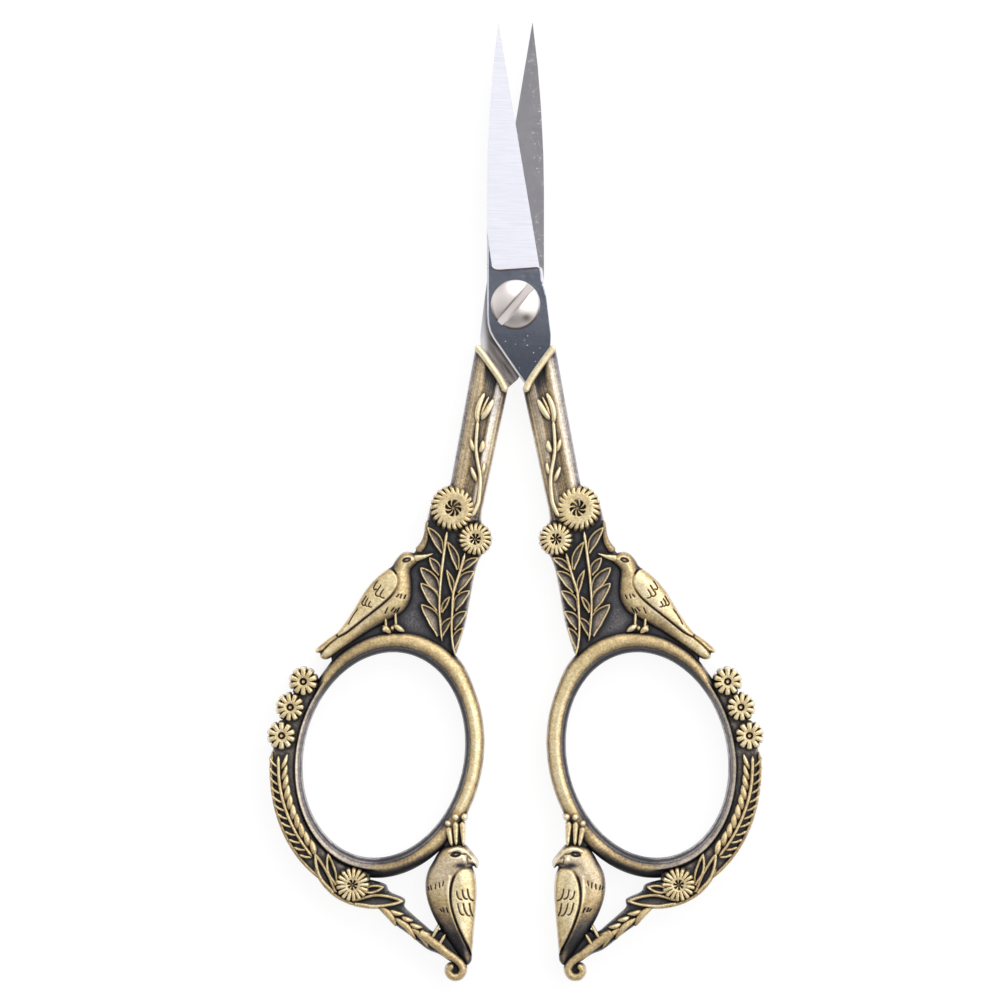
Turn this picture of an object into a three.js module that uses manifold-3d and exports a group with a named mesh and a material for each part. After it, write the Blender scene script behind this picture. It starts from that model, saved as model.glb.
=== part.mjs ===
// Embroidery scissors: two ground steel blades on a slotted pivot screw, each cast into a
// two-sided ornamental handle with a finger ring, a perched songbird, a crested bird, flowers and sprigs.
// Millimetres, +Z up. The scissors lie flat and slightly open, with the points towards +Y.
import * as THREE from "three";
import { mergeVertices } from "three/addons/utils/BufferGeometryUtils.js";
import Module from "manifold-3d";

const wasm = await Module();
wasm.setup();

// Blades
const bladeReach = 37.6; // pivot axis to the point
const bladeThickness = 1.6;
const shearGap = 0.1; // between the flat faces of the two blades
const spineOffset = 3.8; // pivot axis to the straight back of the blade
const pointOffset = 2.3; // pivot axis to the point, sideways, at the opening shown
const spineBendStart = 15; // height above the pivot where the back starts to curve in
const heelHeight = 5; // height above the pivot where the ground bevel ends
const heelOffset = 3.2; // pivot axis to the cutting edge at the heel
const shoulderOffset = 4.7; // pivot axis to the widest point of the flat part
const shoulderDrop = 4; // pivot axis down to that widest point
const edgeThickness = 0.15; // left at the cutting edge
const bevelLand = 0.55; // flat strip kept along the back, beside the bevel at the heel
const backCornerDrop = 2.6; // pivot axis down to where the back turns towards the tang
const tangWidth = 3.2;
const tangThickness = 1.1;
const tangLength = 13;
const tangStep = 0.12; // the tang stands back from the blade's flat face

// Pivot screw
const screwShoulderRadius = 1.7;
const screwThreadRadius = 1.35;
const screwHeadRadius = 3.28;
const screwRimHeight = 0.45;
const screwDomeHeight = 1.05;
const screwSlotWidth = 0.95;
const screwSlotDepth = 0.75;
const screwSlotAngle = 47; // degrees from +X
const runningClearance = 0.07; // radial, round the screw
const headClearance = 0.06; // under the screw head

// Handle: shank and collar
const seatClearance = 0.2; // between a blade and the casting round its tang
const collarCentre = new THREE.Vector2(3.15, -8.35); // from the pivot axis
const collarSlant = 54.9; // degrees, the collar bar's slope against +X
const collarLength = 7.7;
const collarWidth = 0.72;
const collarHalfThickness = 2.45;
const shankTilt = 11.1; // degrees, the shank's lean away from the middle line
const shankLength = 19.5;
const shankTopWidth = 5.3;
const shankEndWidth = 4.75;
const shankHalfThickness = 2.25;
const shankRound = 1.3; // rounding of the shank's long edges
const panelDepth = 0.35; // sunk panel that carries the vine
const panelMargin = 1.25; // rim left beside the sunk panel
const vineWidth = 0.42;

// Handle: finger ring, an oval leaning towards the middle line
const ringHoleCentre = new THREE.Vector2(17.55, -60.0);
const ringHoleWidth = 21.3;
const ringHoleLength = 27.7;
const ringTilt = 13.2; // degrees
const ringSideBand = 2.15; // band width at the ends of the short axis
const ringEndBand = 2.6; // band width at the ends of the long axis
const ringShift = 0.42; // outer oval set towards the middle line, so that side is the heavier
const ringHalfThickness = 1.95;
const ringRound = 0.78;

// Handle: relief heights, each half of the piece's thickness
const webHalfThickness = 1.0;
const leafHalfThickness = 1.62;
const stemHalfThickness = 1.85;
const songbirdHalfThickness = 2.1;
const wingHalfThickness = 2.3;
const crestBirdHalfThickness = 2.25;
const crestWingHalfThickness = 2.45;
const flowerHalfThickness = 2.35;
const daisyHalfThickness = 2.2;
const wheatHalfThickness = 1.7;
const scrollHalfThickness = 2.05;

// Handle: flowers
const largeFlowerRadius = 3.05;
const smallFlowerRadius = 2.25;
const daisyRadius = 1.92;
const baseDaisyRadius = 2.3;
const petalCutShare = 0.1; // how deep the notches between petals go, as a share of the radius
const flowerPitDepth = 0.45;

const radians = THREE.MathUtils.degToRad;
const point = (x, y) => new THREE.Vector2(x, y);
const turned = (x, y, degrees) => point(x, y).rotateAround(point(0, 0), radians(degrees));

// Solids and geometry

function solidOf(geometry) {
  const bare = geometry.clone();
  bare.deleteAttribute("normal");
  bare.deleteAttribute("uv");
  const merged = mergeVertices(bare, 1e-4);
  return new wasm.Manifold(
    new wasm.Mesh({
      numProp: 3,
      vertProperties: new Float32Array(merged.attributes.position.array),
      triVerts: new Uint32Array(merged.index.array),
    }),
  );
}

function geometryOf(solid) {
  const mesh = solid.getMesh();
  const indexed = new THREE.BufferGeometry();
  indexed.setAttribute("position", new THREE.BufferAttribute(new Float32Array(mesh.vertProperties), 3));
  indexed.setIndex(new THREE.BufferAttribute(new Uint32Array(mesh.triVerts), 1));
  const flat = indexed.toNonIndexed();
  flat.computeVertexNormals();
  return flat;
}

const joined = (solids) => solids.reduce((whole, next) => whole.add(next));

// A flat shape made into a plate between two heights, with its rims rounded by `round`.
function plateBetween(shape, low, high, round = 0, roundSteps = 2) {
  const geometry = new THREE.ExtrudeGeometry(shape, {
    depth: high - low - 2 * round,
    bevelEnabled: round > 0,
    bevelThickness: round,
    bevelSize: round,
    bevelOffset: -round,
    bevelSegments: roundSteps,
    curveSegments: 12,
  });
  return solidOf(geometry.translate(0, 0, low + round));
}

const plate = (shape, half, round = 0, roundSteps = 2) => plateBetween(shape, -half, half, round, roundSteps);

// Outlines

const curveThrough = (points) => new THREE.SplineCurve(points);

function closedOutline(points, samples) {
  const loop = new THREE.CatmullRomCurve3(
    points.map((p) => new THREE.Vector3(p.x, p.y, 0)),
    true,
  );
  return new THREE.Shape(loop.getPoints(samples).slice(0, samples).map((p) => point(p.x, p.y)));
}

// A point beside a curve: `along` runs from 0 to 1 and `aside` is the distance to its left.
function beside(curve, along, aside) {
  const tangent = curve.getTangentAt(along);
  return curve.getPointAt(along).add(point(-tangent.y, tangent.x).multiplyScalar(aside));
}

// A line of changing width along a curve, with pointed or blunt ends.
function strokeShape(curve, startWidth, endWidth, steps = 8) {
  const left = [];
  const right = [];
  for (let i = 0; i <= steps; i++) {
    const along = i / steps;
    const half = THREE.MathUtils.lerp(startWidth, endWidth, along) / 2;
    left.push(beside(curve, along, half));
    right.unshift(beside(curve, along, -half));
  }
  return new THREE.Shape([...left, ...right]);
}

// A pointed leaf from its root to its tip.
function leafShape(root, tip, width) {
  const middle = root.clone().lerp(tip, 0.45);
  const aside = tip.clone().sub(root).normalize();
  const bulge = point(-aside.y, aside.x).multiplyScalar(width);
  const shape = new THREE.Shape().moveTo(root.x, root.y);
  shape.quadraticCurveTo(middle.x + bulge.x, middle.y + bulge.y, tip.x, tip.y);
  shape.quadraticCurveTo(middle.x - bulge.x, middle.y - bulge.y, root.x, root.y);
  return new THREE.Shape(shape.getPoints(3));
}

// A sprig seen flat: saw-toothed on both sides of its stem, with the teeth leaning along it.
function sprigShape(stem, teeth, leftReach, rightReach, lean) {
  const notchShare = 0.45;
  const left = [stem.getPointAt(0)];
  const right = [];
  for (let i = 0; i < teeth; i++) {
    const notch = i / teeth;
    const tip = (i + lean) / teeth;
    const swell = 0.75 + 0.25 * Math.sin(Math.PI * tip);
    if (i > 0) {
      left.push(beside(stem, notch, leftReach * notchShare * swell));
      right.unshift(beside(stem, notch, -rightReach * notchShare * swell));
    }
    left.push(beside(stem, tip, leftReach * swell));
    right.unshift(beside(stem, tip, -rightReach * swell));
  }
  return new THREE.Shape([...left, stem.getPointAt(1), ...right]);
}

// A round flower with scalloped petals.
function flowerShape(centre, radius, petals) {
  const perPetal = 2;
  const outline = [];
  for (let i = 0; i < petals * perPetal; i++) {
    const turn = (2 * Math.PI * i) / (petals * perPetal);
    const notch = Math.abs(Math.cos((petals * turn) / 2)) ** 4;
    const reach = radius * (1 - petalCutShare * notch);
    outline.push(point(centre.x + reach * Math.cos(turn), centre.y + reach * Math.sin(turn)));
  }
  return new THREE.Shape(outline);
}

// A flower with a dished middle on both faces.
function flower(centre, radius, petals, half) {
  const pitRadius = 0.32 * radius;
  const pit = new THREE.ConeGeometry(pitRadius, 2 * flowerPitDepth, 6).rotateX(-Math.PI / 2);
  const top = solidOf(pit.clone().translate(centre.x, centre.y, half));
  const bottom = solidOf(pit.clone().rotateX(Math.PI).translate(centre.x, centre.y, -half));
  return plate(flowerShape(centre, radius, petals), half).subtract(top).subtract(bottom);
}

// Where things are on the handle of the front half, which lies at +X

const collarDirection = turned(1, 0, collarSlant);
const collarNormal = turned(0, 1, collarSlant); // from the collar towards the blade
const shankAxis = turned(0, -1, shankTilt);
const shankSide = turned(1, 0, shankTilt); // from the shank's middle towards its outer edge
const onShank = (along, aside) =>
  collarCentre.clone().addScaledVector(shankAxis, along).addScaledVector(shankSide, aside);
const shankEnd = onShank(shankLength, 0);
const fromShankEnd = (x, y) => shankEnd.clone().add(point(x, y));

const ringOuterCentre = ringHoleCentre.clone().add(turned(-ringShift, 0, ringTilt));

// A point of the finger ring: an angle round it and a distance out from its outer edge.
function onRing(degrees, out = 0) {
  const across = ringHoleWidth / 2 + ringSideBand + out;
  const lengthways = ringHoleLength / 2 + ringEndBand + out;
  const local = turned(
    across * Math.cos(radians(degrees)),
    lengthways * Math.sin(radians(degrees)),
    ringTilt,
  );
  return local.add(ringOuterCentre);
}

const largeFlowerCentre = fromShankEnd(1.45, 0.45);
const smallFlowerCentre = fromShankEnd(-1.4, -3.75);
const baseDaisyCentre = onRing(-87.7, 0.85);
const perch = onRing(75, 1.0);
const crestEye = onRing(215, 1.9);
const atPerch = (x, y) => perch.clone().add(point(x, y));
const atCrestEye = (x, y) => crestEye.clone().add(point(x, y));

// Blade

function bladeOutline() {
  const shape = new THREE.Shape();
  shape.moveTo(-pointOffset, bladeReach);
  shape.quadraticCurveTo(-spineOffset, 0.7 * bladeReach, -spineOffset, spineBendStart);
  shape.lineTo(-spineOffset, 0);
  const tangSide = collarCentre.clone().addScaledVector(collarDirection, -0.43 * collarLength);
  shape.quadraticCurveTo(-spineOffset, -backCornerDrop, -spineOffset + 1.1, -backCornerDrop - 1.6);
  shape.lineTo(tangSide.x, tangSide.y);
  const collarSide = collarCentre.clone().addScaledVector(collarDirection, 0.38 * collarLength);
  shape.lineTo(collarSide.x, collarSide.y);
  shape.lineTo(shoulderOffset, -shoulderDrop);
  shape.lineTo(heelOffset + 0.4, heelHeight - 0.1);
  shape.lineTo(heelOffset, heelHeight);
  return shape;
}

// Everything on the handle's side of a line along the collar, moved `shift` towards the blade.
function handleSideOf(shift) {
  const size = 4 * shankLength;
  const block = new THREE.BoxGeometry(size, size, size).translate(0, -size / 2, 0);
  block.rotateZ(radians(collarSlant));
  const edge = collarCentre.clone().addScaledVector(collarNormal, shift);
  return solidOf(block.translate(edge.x, edge.y, 0));
}

// The wedge that grinding takes off the outer face, from the back down to the cutting edge.
function bevelWedge(low, high) {
  const edgeLean = Math.atan2(heelOffset + pointOffset, bladeReach - heelHeight);
  const width = (heelOffset + spineOffset - bevelLand) * Math.cos(edgeLean);
  const slope = (high - low - edgeThickness) / width;
  const spare = 1;
  const section = new THREE.Shape();
  section.moveTo(spare, low + edgeThickness - slope * spare);
  section.lineTo(spare, high + spare);
  section.lineTo(-width - spare / slope, high + spare);
  const wedge = new THREE.ExtrudeGeometry(section, { depth: 2 * bladeReach, bevelEnabled: false });
  wedge.rotateX(Math.PI / 2).translate(0, 1.5 * bladeReach, 0).rotateZ(edgeLean);
  const aboveHeel = new THREE.BoxGeometry(4 * bladeReach, 4 * bladeReach, 4 * bladeReach);
  aboveHeel.translate(0, heelHeight + 2 * bladeReach, 0);
  return solidOf(wedge.translate(heelOffset, heelHeight, 0)).intersect(solidOf(aboveHeel));
}

function tangBlock(clearance) {
  const reachBack = 2.2; // into the blade, so that the two are one piece
  const block = new THREE.BoxGeometry(
    tangWidth + 2 * clearance,
    tangLength + reachBack + clearance,
    tangThickness + 2 * clearance,
  );
  const height = shearGap / 2 + tangStep + tangThickness / 2;
  block.translate(0, (reachBack - tangLength - clearance) / 2, height);
  block.rotateZ(radians(shankTilt));
  return solidOf(block.translate(collarCentre.x, collarCentre.y, 0));
}

function blade(boreRadius) {
  const low = shearGap / 2;
  const high = low + bladeThickness;
  const bore = new THREE.CylinderGeometry(boreRadius, boreRadius, 4 * bladeThickness, 40);
  return plateBetween(bladeOutline(), low, high)
    .subtract(bevelWedge(low, high))
    .subtract(handleSideOf(collarWidth / 2 + seatClearance))
    .add(tangBlock(0))
    .subtract(solidOf(bore.rotateX(Math.PI / 2)));
}

// Handle

function shank() {
  const topHalf = shankTopWidth / 2;
  const endHalf = shankEndWidth / 2;
  const above = 0.3 * shankLength;
  const body = plate(
    new THREE.Shape([
      onShank(-above, topHalf),
      onShank(-above, -topHalf),
      onShank(shankLength, -endHalf),
      onShank(shankLength, endHalf),
    ]),
    shankHalfThickness,
    shankRound,
    2,
  );
  const panel = new THREE.Shape([
    onShank(1.2, topHalf - panelMargin),
    onShank(2.6, -topHalf + panelMargin),
    onShank(shankLength, -endHalf + panelMargin),
    onShank(shankLength, endHalf - panelMargin),
  ]);
  const floor = shankHalfThickness - panelDepth;
  const beyond = shankHalfThickness + panelDepth;
  return body
    .subtract(plateBetween(panel, floor, beyond))
    .subtract(plateBetween(panel, -beyond, -floor))
    .subtract(bladeSideBlock());
}

// Everything on the blade's side of the collar's middle line.
function bladeSideBlock() {
  const size = 4 * shankLength;
  const block = new THREE.BoxGeometry(size, size, size).translate(0, size / 2, 0);
  block.rotateZ(radians(collarSlant));
  return solidOf(block.translate(collarCentre.x, collarCentre.y, 0));
}

function collar() {
  const half = collarLength / 2 - collarWidth / 2;
  const end = (sign) => collarCentre.clone().addScaledVector(collarDirection, sign * half);
  const bar = new THREE.Shape();
  const upper = end(1);
  const lower = end(-1);
  const start = radians(collarSlant - 90);
  bar.absarc(upper.x, upper.y, collarWidth / 2, start, start + Math.PI);
  bar.absarc(lower.x, lower.y, collarWidth / 2, start + Math.PI, start + 2 * Math.PI);
  return plate(new THREE.Shape(bar.getPoints(4)), collarHalfThickness, 0.2, 1);
}

// The vine in the sunk panel: a wavy stem, three bud petals and small leaves.
function vine() {
  const stem = curveThrough([
    onShank(shankLength - 0.8, -1.15),
    onShank(shankLength - 3.5, -1.3),
    onShank(shankLength - 8, -0.45),
    onShank(5.5, -0.35),
  ]);
  const budRoot = onShank(5.6, -0.35);
  const petals = [0.35, -0.3, -0.85].map((aside) => leafShape(budRoot, onShank(2.3, aside), 0.5));
  const leaves = [
    [9.5, 0.75],
    [9.3, -1.15],
    [12.6, 0.7],
    [12.4, -1.45],
  ].map(([along, aside]) => leafShape(onShank(along + 1.5, -0.5), onShank(along, aside), 0.45));
  const half = shankHalfThickness - 0.05;
  return joined([strokeShape(stem, vineWidth, vineWidth), ...petals, ...leaves].map((s) => plate(s, half)));
}

function ring() {
  const tilt = radians(ringTilt);
  const band = new THREE.Shape();
  band.absellipse(
    ringOuterCentre.x,
    ringOuterCentre.y,
    ringHoleWidth / 2 + ringSideBand,
    ringHoleLength / 2 + ringEndBand,
    0,
    2 * Math.PI,
    false,
    tilt,
  );
  const hole = new THREE.Path();
  hole.absellipse(
    ringHoleCentre.x,
    ringHoleCentre.y,
    ringHoleWidth / 2,
    ringHoleLength / 2,
    0,
    2 * Math.PI,
    true,
    tilt,
  );
  const around = 20;
  const rounded = new THREE.Shape(band.getPoints(around).slice(0, -1));
  rounded.holes.push(new THREE.Path(hole.getPoints(around).slice(0, -1)));
  return plate(rounded, ringHalfThickness, ringRound, 1);
}

// The plain sunk ground behind the leaves and under the songbird, from the shank to the ring.
function web() {
  const innerSide = curveThrough([
    onShank(shankLength - 0.5, -shankEndWidth / 2 + 0.3),
    fromShankEnd(-2.2, -6.2),
    fromShankEnd(-1.0, -10.5),
    fromShankEnd(0.0, -15.5),
    onRing(117, 0.3),
    onRing(120, -0.8),
  ]).getPoints(10);
  const underRing = [110, 95, 80, 65, 50, 38].map((degrees) => onRing(degrees, -0.8));
  const alongBird = [atPerch(7.6, -2.6), atPerch(2.2, 3.6), atPerch(-1.6, 8.6)];
  const outerSide = [fromShankEnd(6.5, -5.0), fromShankEnd(5.2, -1.6), onShank(shankLength - 1.5, 2)];
  return plate(new THREE.Shape([...innerSide, ...underRing, ...alongBird, ...outerSide]), webHalfThickness);
}

// Two leaf sprays that rise from the ring to the flowers.
function leafSprays() {
  const outerStem = curveThrough([
    onRing(104, 0.4),
    fromShankEnd(3.1, -9.6),
    largeFlowerCentre.clone().add(point(0.9, -2.9)),
  ]);
  const innerStem = curveThrough([
    onRing(114.5, 0.4),
    fromShankEnd(1.6, -14.4),
    fromShankEnd(0.75, -8.8),
    smallFlowerCentre.clone().add(point(1.3, -1.9)),
  ]);
  const sprays = [sprigShape(outerStem, 5, 1.2, 2.6, 0.75), sprigShape(innerStem, 7, 1.5, 1.25, 0.75)];
  const stems = [strokeShape(outerStem, 0.4, 0.6), strokeShape(innerStem, 0.4, 0.55)];
  const topLeaf = leafShape(largeFlowerCentre.clone().add(point(1.4, -5.6)), fromShankEnd(5.0, -1.9), 0.9);
  return joined([
    ...[...sprays, topLeaf].map((shape) => plate(shape, leafHalfThickness)),
    ...stems.map((shape) => plate(shape, stemHalfThickness)),
  ]);
}

function songbird() {
  const body = closedOutline(
    [
      atPerch(-3.5, 9.25),
      atPerch(-2.1, 10.15),
      atPerch(-0.6, 9.3),
      atPerch(0.3, 7.6),
      atPerch(2.2, 5.7),
      atPerch(4.2, 3.1),
      atPerch(7.0, -0.9),
      atPerch(10.0, -3.1),
      atPerch(8.6, -4.3),
      atPerch(5.0, -1.6),
      atPerch(0.7, 0.9),
      atPerch(-1.4, 2.2),
      atPerch(-2.8, 4.8),
      atPerch(-2.6, 7.1),
      atPerch(-3.3, 8.4),
    ],
    38,
  );
  const beak = new THREE.Shape([atPerch(-5.6, 9.75), atPerch(-3.0, 8.5), atPerch(-3.0, 9.4)]);
  const wing = closedOutline(
    [
      atPerch(0.2, 7.2),
      atPerch(-0.9, 6.4),
      atPerch(-0.6, 5.0),
      atPerch(2.1, 2.4),
      atPerch(7.0, -1.3),
      atPerch(4.1, 2.8),
      atPerch(2.1, 5.3),
    ],
    18,
  );
  const legs = [
    [0.75, 1.2],
    [-0.65, 1.7],
  ].map(([x, y]) => strokeShape(curveThrough([atPerch(x, y), atPerch(x - 0.1, y - 1.9)]), 0.35, 0.9, 2));
  return joined([
    plate(body, songbirdHalfThickness, 0.32, 1),
    plate(wing, wingHalfThickness),
    plate(beak, leafHalfThickness),
    ...legs.map((leg) => plate(leg, leafHalfThickness)),
  ]);
}

// Three daisies, then a wheat sprig, down the outer side of the ring.
function outerGarland() {
  const daisies = [23.5, 11, -1.7].map((degrees) => flower(onRing(degrees, 1.45), daisyRadius, 10, daisyHalfThickness));
  const stem = curveThrough([
    onRing(-6, 1.35),
    onRing(-20, 1.2),
    onRing(-35, 1.0),
    onRing(-50, 0.85),
    onRing(-70, 0.6),
  ]);
  const groundMiddle = curveThrough([29, 12, -8, -30, -55, -80, -96].map((degrees) => onRing(degrees, 0.95)));
  const ground = strokeShape(groundMiddle, 1.9, 3.2, 14);
  return joined([
    ...daisies,
    plate(ground, webHalfThickness + 0.05),
    plate(sprigShape(stem, 10, 1.65, 1.15, 0.2), wheatHalfThickness),
    plate(strokeShape(stem, 0.5, 0.4, 10), stemHalfThickness),
  ]);
}

// The daisy under the ring, its leaves, and the wheat branch that ends in a scroll.
function lowerBranch() {
  const fromDaisy = (x, y) => baseDaisyCentre.clone().add(point(x, y));
  const leaves = [
    leafShape(fromDaisy(0.5, -1.8), fromDaisy(-6.7, -2.7), 1.5),
    leafShape(fromDaisy(-0.4, -0.6), fromDaisy(-4.3, -1.5), 1.0),
    leafShape(fromDaisy(1.0, -0.6), fromDaisy(5.0, 4.0), 1.5),
    leafShape(fromDaisy(0.6, 0.2), fromDaisy(3.2, 3.8), 0.8),
  ];
  const stem = curveThrough([
    fromDaisy(0.5, -2.0),
    fromDaisy(-4.0, -3.5),
    fromDaisy(-8.2, -6.5),
    atCrestEye(2.3, -12.3),
  ]);
  const scrollCentre = atCrestEye(0.15, -15.5);
  const turn = (degrees, radius) => scrollCentre.clone().add(turned(radius, 0, degrees));
  const scroll = curveThrough([
    atCrestEye(3.0, -11.8),
    atCrestEye(0.6, -13.5),
    turn(130, 1.35),
    turn(185, 1.25),
    turn(250, 1.2),
    turn(315, 1.1),
    turn(25, 0.8),
    turn(80, 0.45),
  ]);
  return joined([
    flower(baseDaisyCentre, baseDaisyRadius, 16, daisyHalfThickness),
    ...leaves.map((shape) => plate(shape, leafHalfThickness)),
    plate(sprigShape(stem, 6, 1.5, 1.5, 0.75), wheatHalfThickness),
    plate(strokeShape(stem, 1.1, 1.1), stemHalfThickness),
    plate(strokeShape(scroll, 1.2, 0.75, 14), scrollHalfThickness),
  ]);
}

function crestBird() {
  const body = closedOutline(
    [
      atCrestEye(-0.1, 1.05),
      atCrestEye(1.9, 0.2),
      atCrestEye(2.8, -1.1),
      atCrestEye(4.1, -2.6),
      atCrestEye(4.5, -4.3),
      atCrestEye(3.6, -7.6),
      atCrestEye(1.8, -10.8),
      atCrestEye(0.0, -13.1),
      atCrestEye(-1.1, -14.4),
      atCrestEye(-1.9, -14.2),
      atCrestEye(-2.1, -12.0),
      atCrestEye(-2.6, -7.4),
      atCrestEye(-2.45, -3.0),
      atCrestEye(-2.75, -1.8),
      atCrestEye(-1.3, 0.4),
    ],
    36,
  );
  const wing = closedOutline(
    [
      atCrestEye(-0.8, -2.0),
      atCrestEye(0.5, -3.1),
      atCrestEye(0.65, -4.9),
      atCrestEye(0.1, -7.4),
      atCrestEye(-1.8, -12.5),
      atCrestEye(-2.45, -7.4),
      atCrestEye(-2.1, -3.0),
    ],
    18,
  );
  const crestTips = [
    [1.1, 4.1],
    [0.15, 4.85],
    [-1.0, 4.85],
  ];
  const pins = crestTips.map(([x, y]) =>
    strokeShape(curveThrough([atCrestEye(0.6 * x, 0.6), atCrestEye(x, y)]), 0.6, 0.5, 2),
  );
  const balls = crestTips.map(([x, y]) => {
    const tip = atCrestEye(x, y);
    const ball = new THREE.CylinderGeometry(0.48, 0.48, 2 * crestBirdHalfThickness - 0.3, 10);
    return solidOf(ball.rotateX(Math.PI / 2).translate(tip.x, tip.y, 0));
  });
  const legs = strokeShape(curveThrough([atCrestEye(3.0, -9.0), atCrestEye(2.9, -11.6)]), 0.5, 0.5, 2);
  const behindCrest = new THREE.Shape([
    atCrestEye(-0.9, 0.4),
    atCrestEye(1.6, 0.2),
    atCrestEye(1.1, 3.6),
    atCrestEye(-1.0, 3.8),
  ]);
  const behindTail = new THREE.Shape([
    atCrestEye(2.4, -9.2),
    atCrestEye(-0.6, -13.4),
    atCrestEye(1.0, -13.7),
    atCrestEye(3.3, -11.6),
  ]);
  return joined([
    plate(body, crestBirdHalfThickness, 0.25, 1),
    plate(wing, crestWingHalfThickness),
    ...pins.map((pin) => plate(pin, stemHalfThickness + 0.3)),
    ...balls,
    plate(legs, leafHalfThickness),
    plate(behindCrest, webHalfThickness + 0.1),
    plate(behindTail, webHalfThickness + 0.1),
  ]);
}

function handle() {
  return joined([
    shank(),
    collar(),
    vine(),
    ring(),
    web(),
    leafSprays(),
    flower(largeFlowerCentre, largeFlowerRadius, 20, flowerHalfThickness),
    flower(smallFlowerCentre, smallFlowerRadius, 16, flowerHalfThickness - 0.05),
    songbird(),
    outerGarland(),
    lowerBranch(),
    crestBird(),
  ]).subtract(tangBlock(seatClearance));
}

// Pivot screw: slotted domed head, plain shoulder for the front blade, threaded end in the rear blade

function pivotScrew() {
  const outerFace = shearGap / 2 + bladeThickness;
  const headSeat = outerFace + headClearance;
  const shoulderFoot = -shearGap / 2 + headClearance;
  const rimTop = headSeat + screwRimHeight;
  const domeRadius = (screwHeadRadius ** 2 + screwDomeHeight ** 2) / (2 * screwDomeHeight);
  const domeCentre = rimTop + screwDomeHeight - domeRadius;
  const domeSweep = Math.asin(screwHeadRadius / domeRadius);
  const profile = [
    point(0, -outerFace),
    point(screwThreadRadius, -outerFace),
    point(screwThreadRadius, shoulderFoot),
    point(screwShoulderRadius, shoulderFoot),
    point(screwShoulderRadius, headSeat),
    point(screwHeadRadius, headSeat),
  ];
  const domeSteps = 6;
  for (let i = 0; i < domeSteps; i++) {
    const lean = domeSweep * (1 - i / domeSteps);
    profile.push(point(domeRadius * Math.sin(lean), domeCentre + domeRadius * Math.cos(lean)));
  }
  profile.push(point(0, rimTop + screwDomeHeight));
  const turnedBody = new THREE.LatheGeometry(profile, 40).rotateX(Math.PI / 2);
  const slot = new THREE.BoxGeometry(4 * screwHeadRadius, screwSlotWidth, 2 * screwSlotDepth);
  slot.rotateZ(radians(screwSlotAngle)).translate(0, 0, rimTop + screwDomeHeight);
  return solidOf(turnedBody).subtract(solidOf(slot));
}

// Assembly

const antiqueBrass = new THREE.MeshStandardMaterial({ color: 0xb89a62, roughness: 0.38, metalness: 1 });
const groundSteel = new THREE.MeshStandardMaterial({ color: 0xc9cad0, roughness: 0.28, metalness: 1 });
const nickel = new THREE.MeshStandardMaterial({ color: 0xd8d2cb, roughness: 0.16, metalness: 1 });

function named(name, geometry, material) {
  const mesh = new THREE.Mesh(geometry, material);
  mesh.name = name;
  return mesh;
}

const handleGeometry = geometryOf(handle());
const frontHalf = new THREE.Group();
frontHalf.add(named("front_blade", geometryOf(blade(screwShoulderRadius + runningClearance)), groundSteel));
frontHalf.add(named("right_handle", handleGeometry, antiqueBrass));

// The rear half is the front half turned over about the middle line, with a tapped hole for the screw.
const rearHalf = new THREE.Group();
rearHalf.add(named("rear_blade", geometryOf(blade(screwThreadRadius + runningClearance)), groundSteel));
rearHalf.add(named("left_handle", handleGeometry, antiqueBrass));
rearHalf.rotation.y = Math.PI;

const scissors = new THREE.Group();
scissors.add(frontHalf, rearHalf, named("pivot_screw", geometryOf(pivotScrew()), nickel));

// The origin is the middle of the footprint, on the surface that the scissors lie on.
const footprint = new THREE.Box3().setFromObject(scissors);
const middle = footprint.getCenter(new THREE.Vector3());
scissors.position.set(-middle.x, -middle.y, -footprint.min.z);

const part = new THREE.Group();
part.add(scissors);

export default part;
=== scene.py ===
"""Embroidery scissors: ground steel blades, a slotted pivot screw and cast antique-brass handles.

Shapes are worked out in millimetres in the half frame: the pivot axis at the origin, the plane between the
blades at height 0, the points towards +Y and the handle of the upper blade at +X. The other half is the same
half turned over about the middle line.
"""

import math

import bpy
import numpy as np
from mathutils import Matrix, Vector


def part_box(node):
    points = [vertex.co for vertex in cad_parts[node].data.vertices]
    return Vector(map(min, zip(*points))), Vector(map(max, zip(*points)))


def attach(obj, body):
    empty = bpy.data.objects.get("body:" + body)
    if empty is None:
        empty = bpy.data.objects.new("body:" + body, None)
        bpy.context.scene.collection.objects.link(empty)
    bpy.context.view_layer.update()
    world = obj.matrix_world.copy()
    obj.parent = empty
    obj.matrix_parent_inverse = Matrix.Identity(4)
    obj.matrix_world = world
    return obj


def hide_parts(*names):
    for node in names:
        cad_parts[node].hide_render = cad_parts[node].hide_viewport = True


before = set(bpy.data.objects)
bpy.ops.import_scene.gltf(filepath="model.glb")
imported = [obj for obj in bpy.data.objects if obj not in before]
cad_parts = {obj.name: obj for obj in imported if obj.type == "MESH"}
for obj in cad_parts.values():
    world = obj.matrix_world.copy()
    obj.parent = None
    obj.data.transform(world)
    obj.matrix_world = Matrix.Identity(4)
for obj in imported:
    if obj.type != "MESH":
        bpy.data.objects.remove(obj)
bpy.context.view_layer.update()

MM = 0.001

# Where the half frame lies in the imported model
screw_low, screw_high = (np.array(corner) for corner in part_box("pivot_screw"))
handle_low, handle_high = (np.array(corner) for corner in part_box("right_handle"))
PIVOT = np.array([
    (screw_low[0] + screw_high[0]) / 2,
    (screw_low[1] + screw_high[1]) / 2,
    (handle_low[2] + handle_high[2]) / 2,
])

# Blade sizes
BLADE_REACH = 37.6
BLADE_THICKNESS = 1.6
SHEAR_GAP = 0.1
POINT_OFFSET = 2.3
HEEL_OFFSET = 3.2
HEEL_HEIGHT = 5.05
HEEL_SPINE_HEIGHT = 4.56
SPINE_CHAMFER = 0.24
BEVEL_WIDTH = 6.25
EDGE_THICKNESS = 0.15

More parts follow.
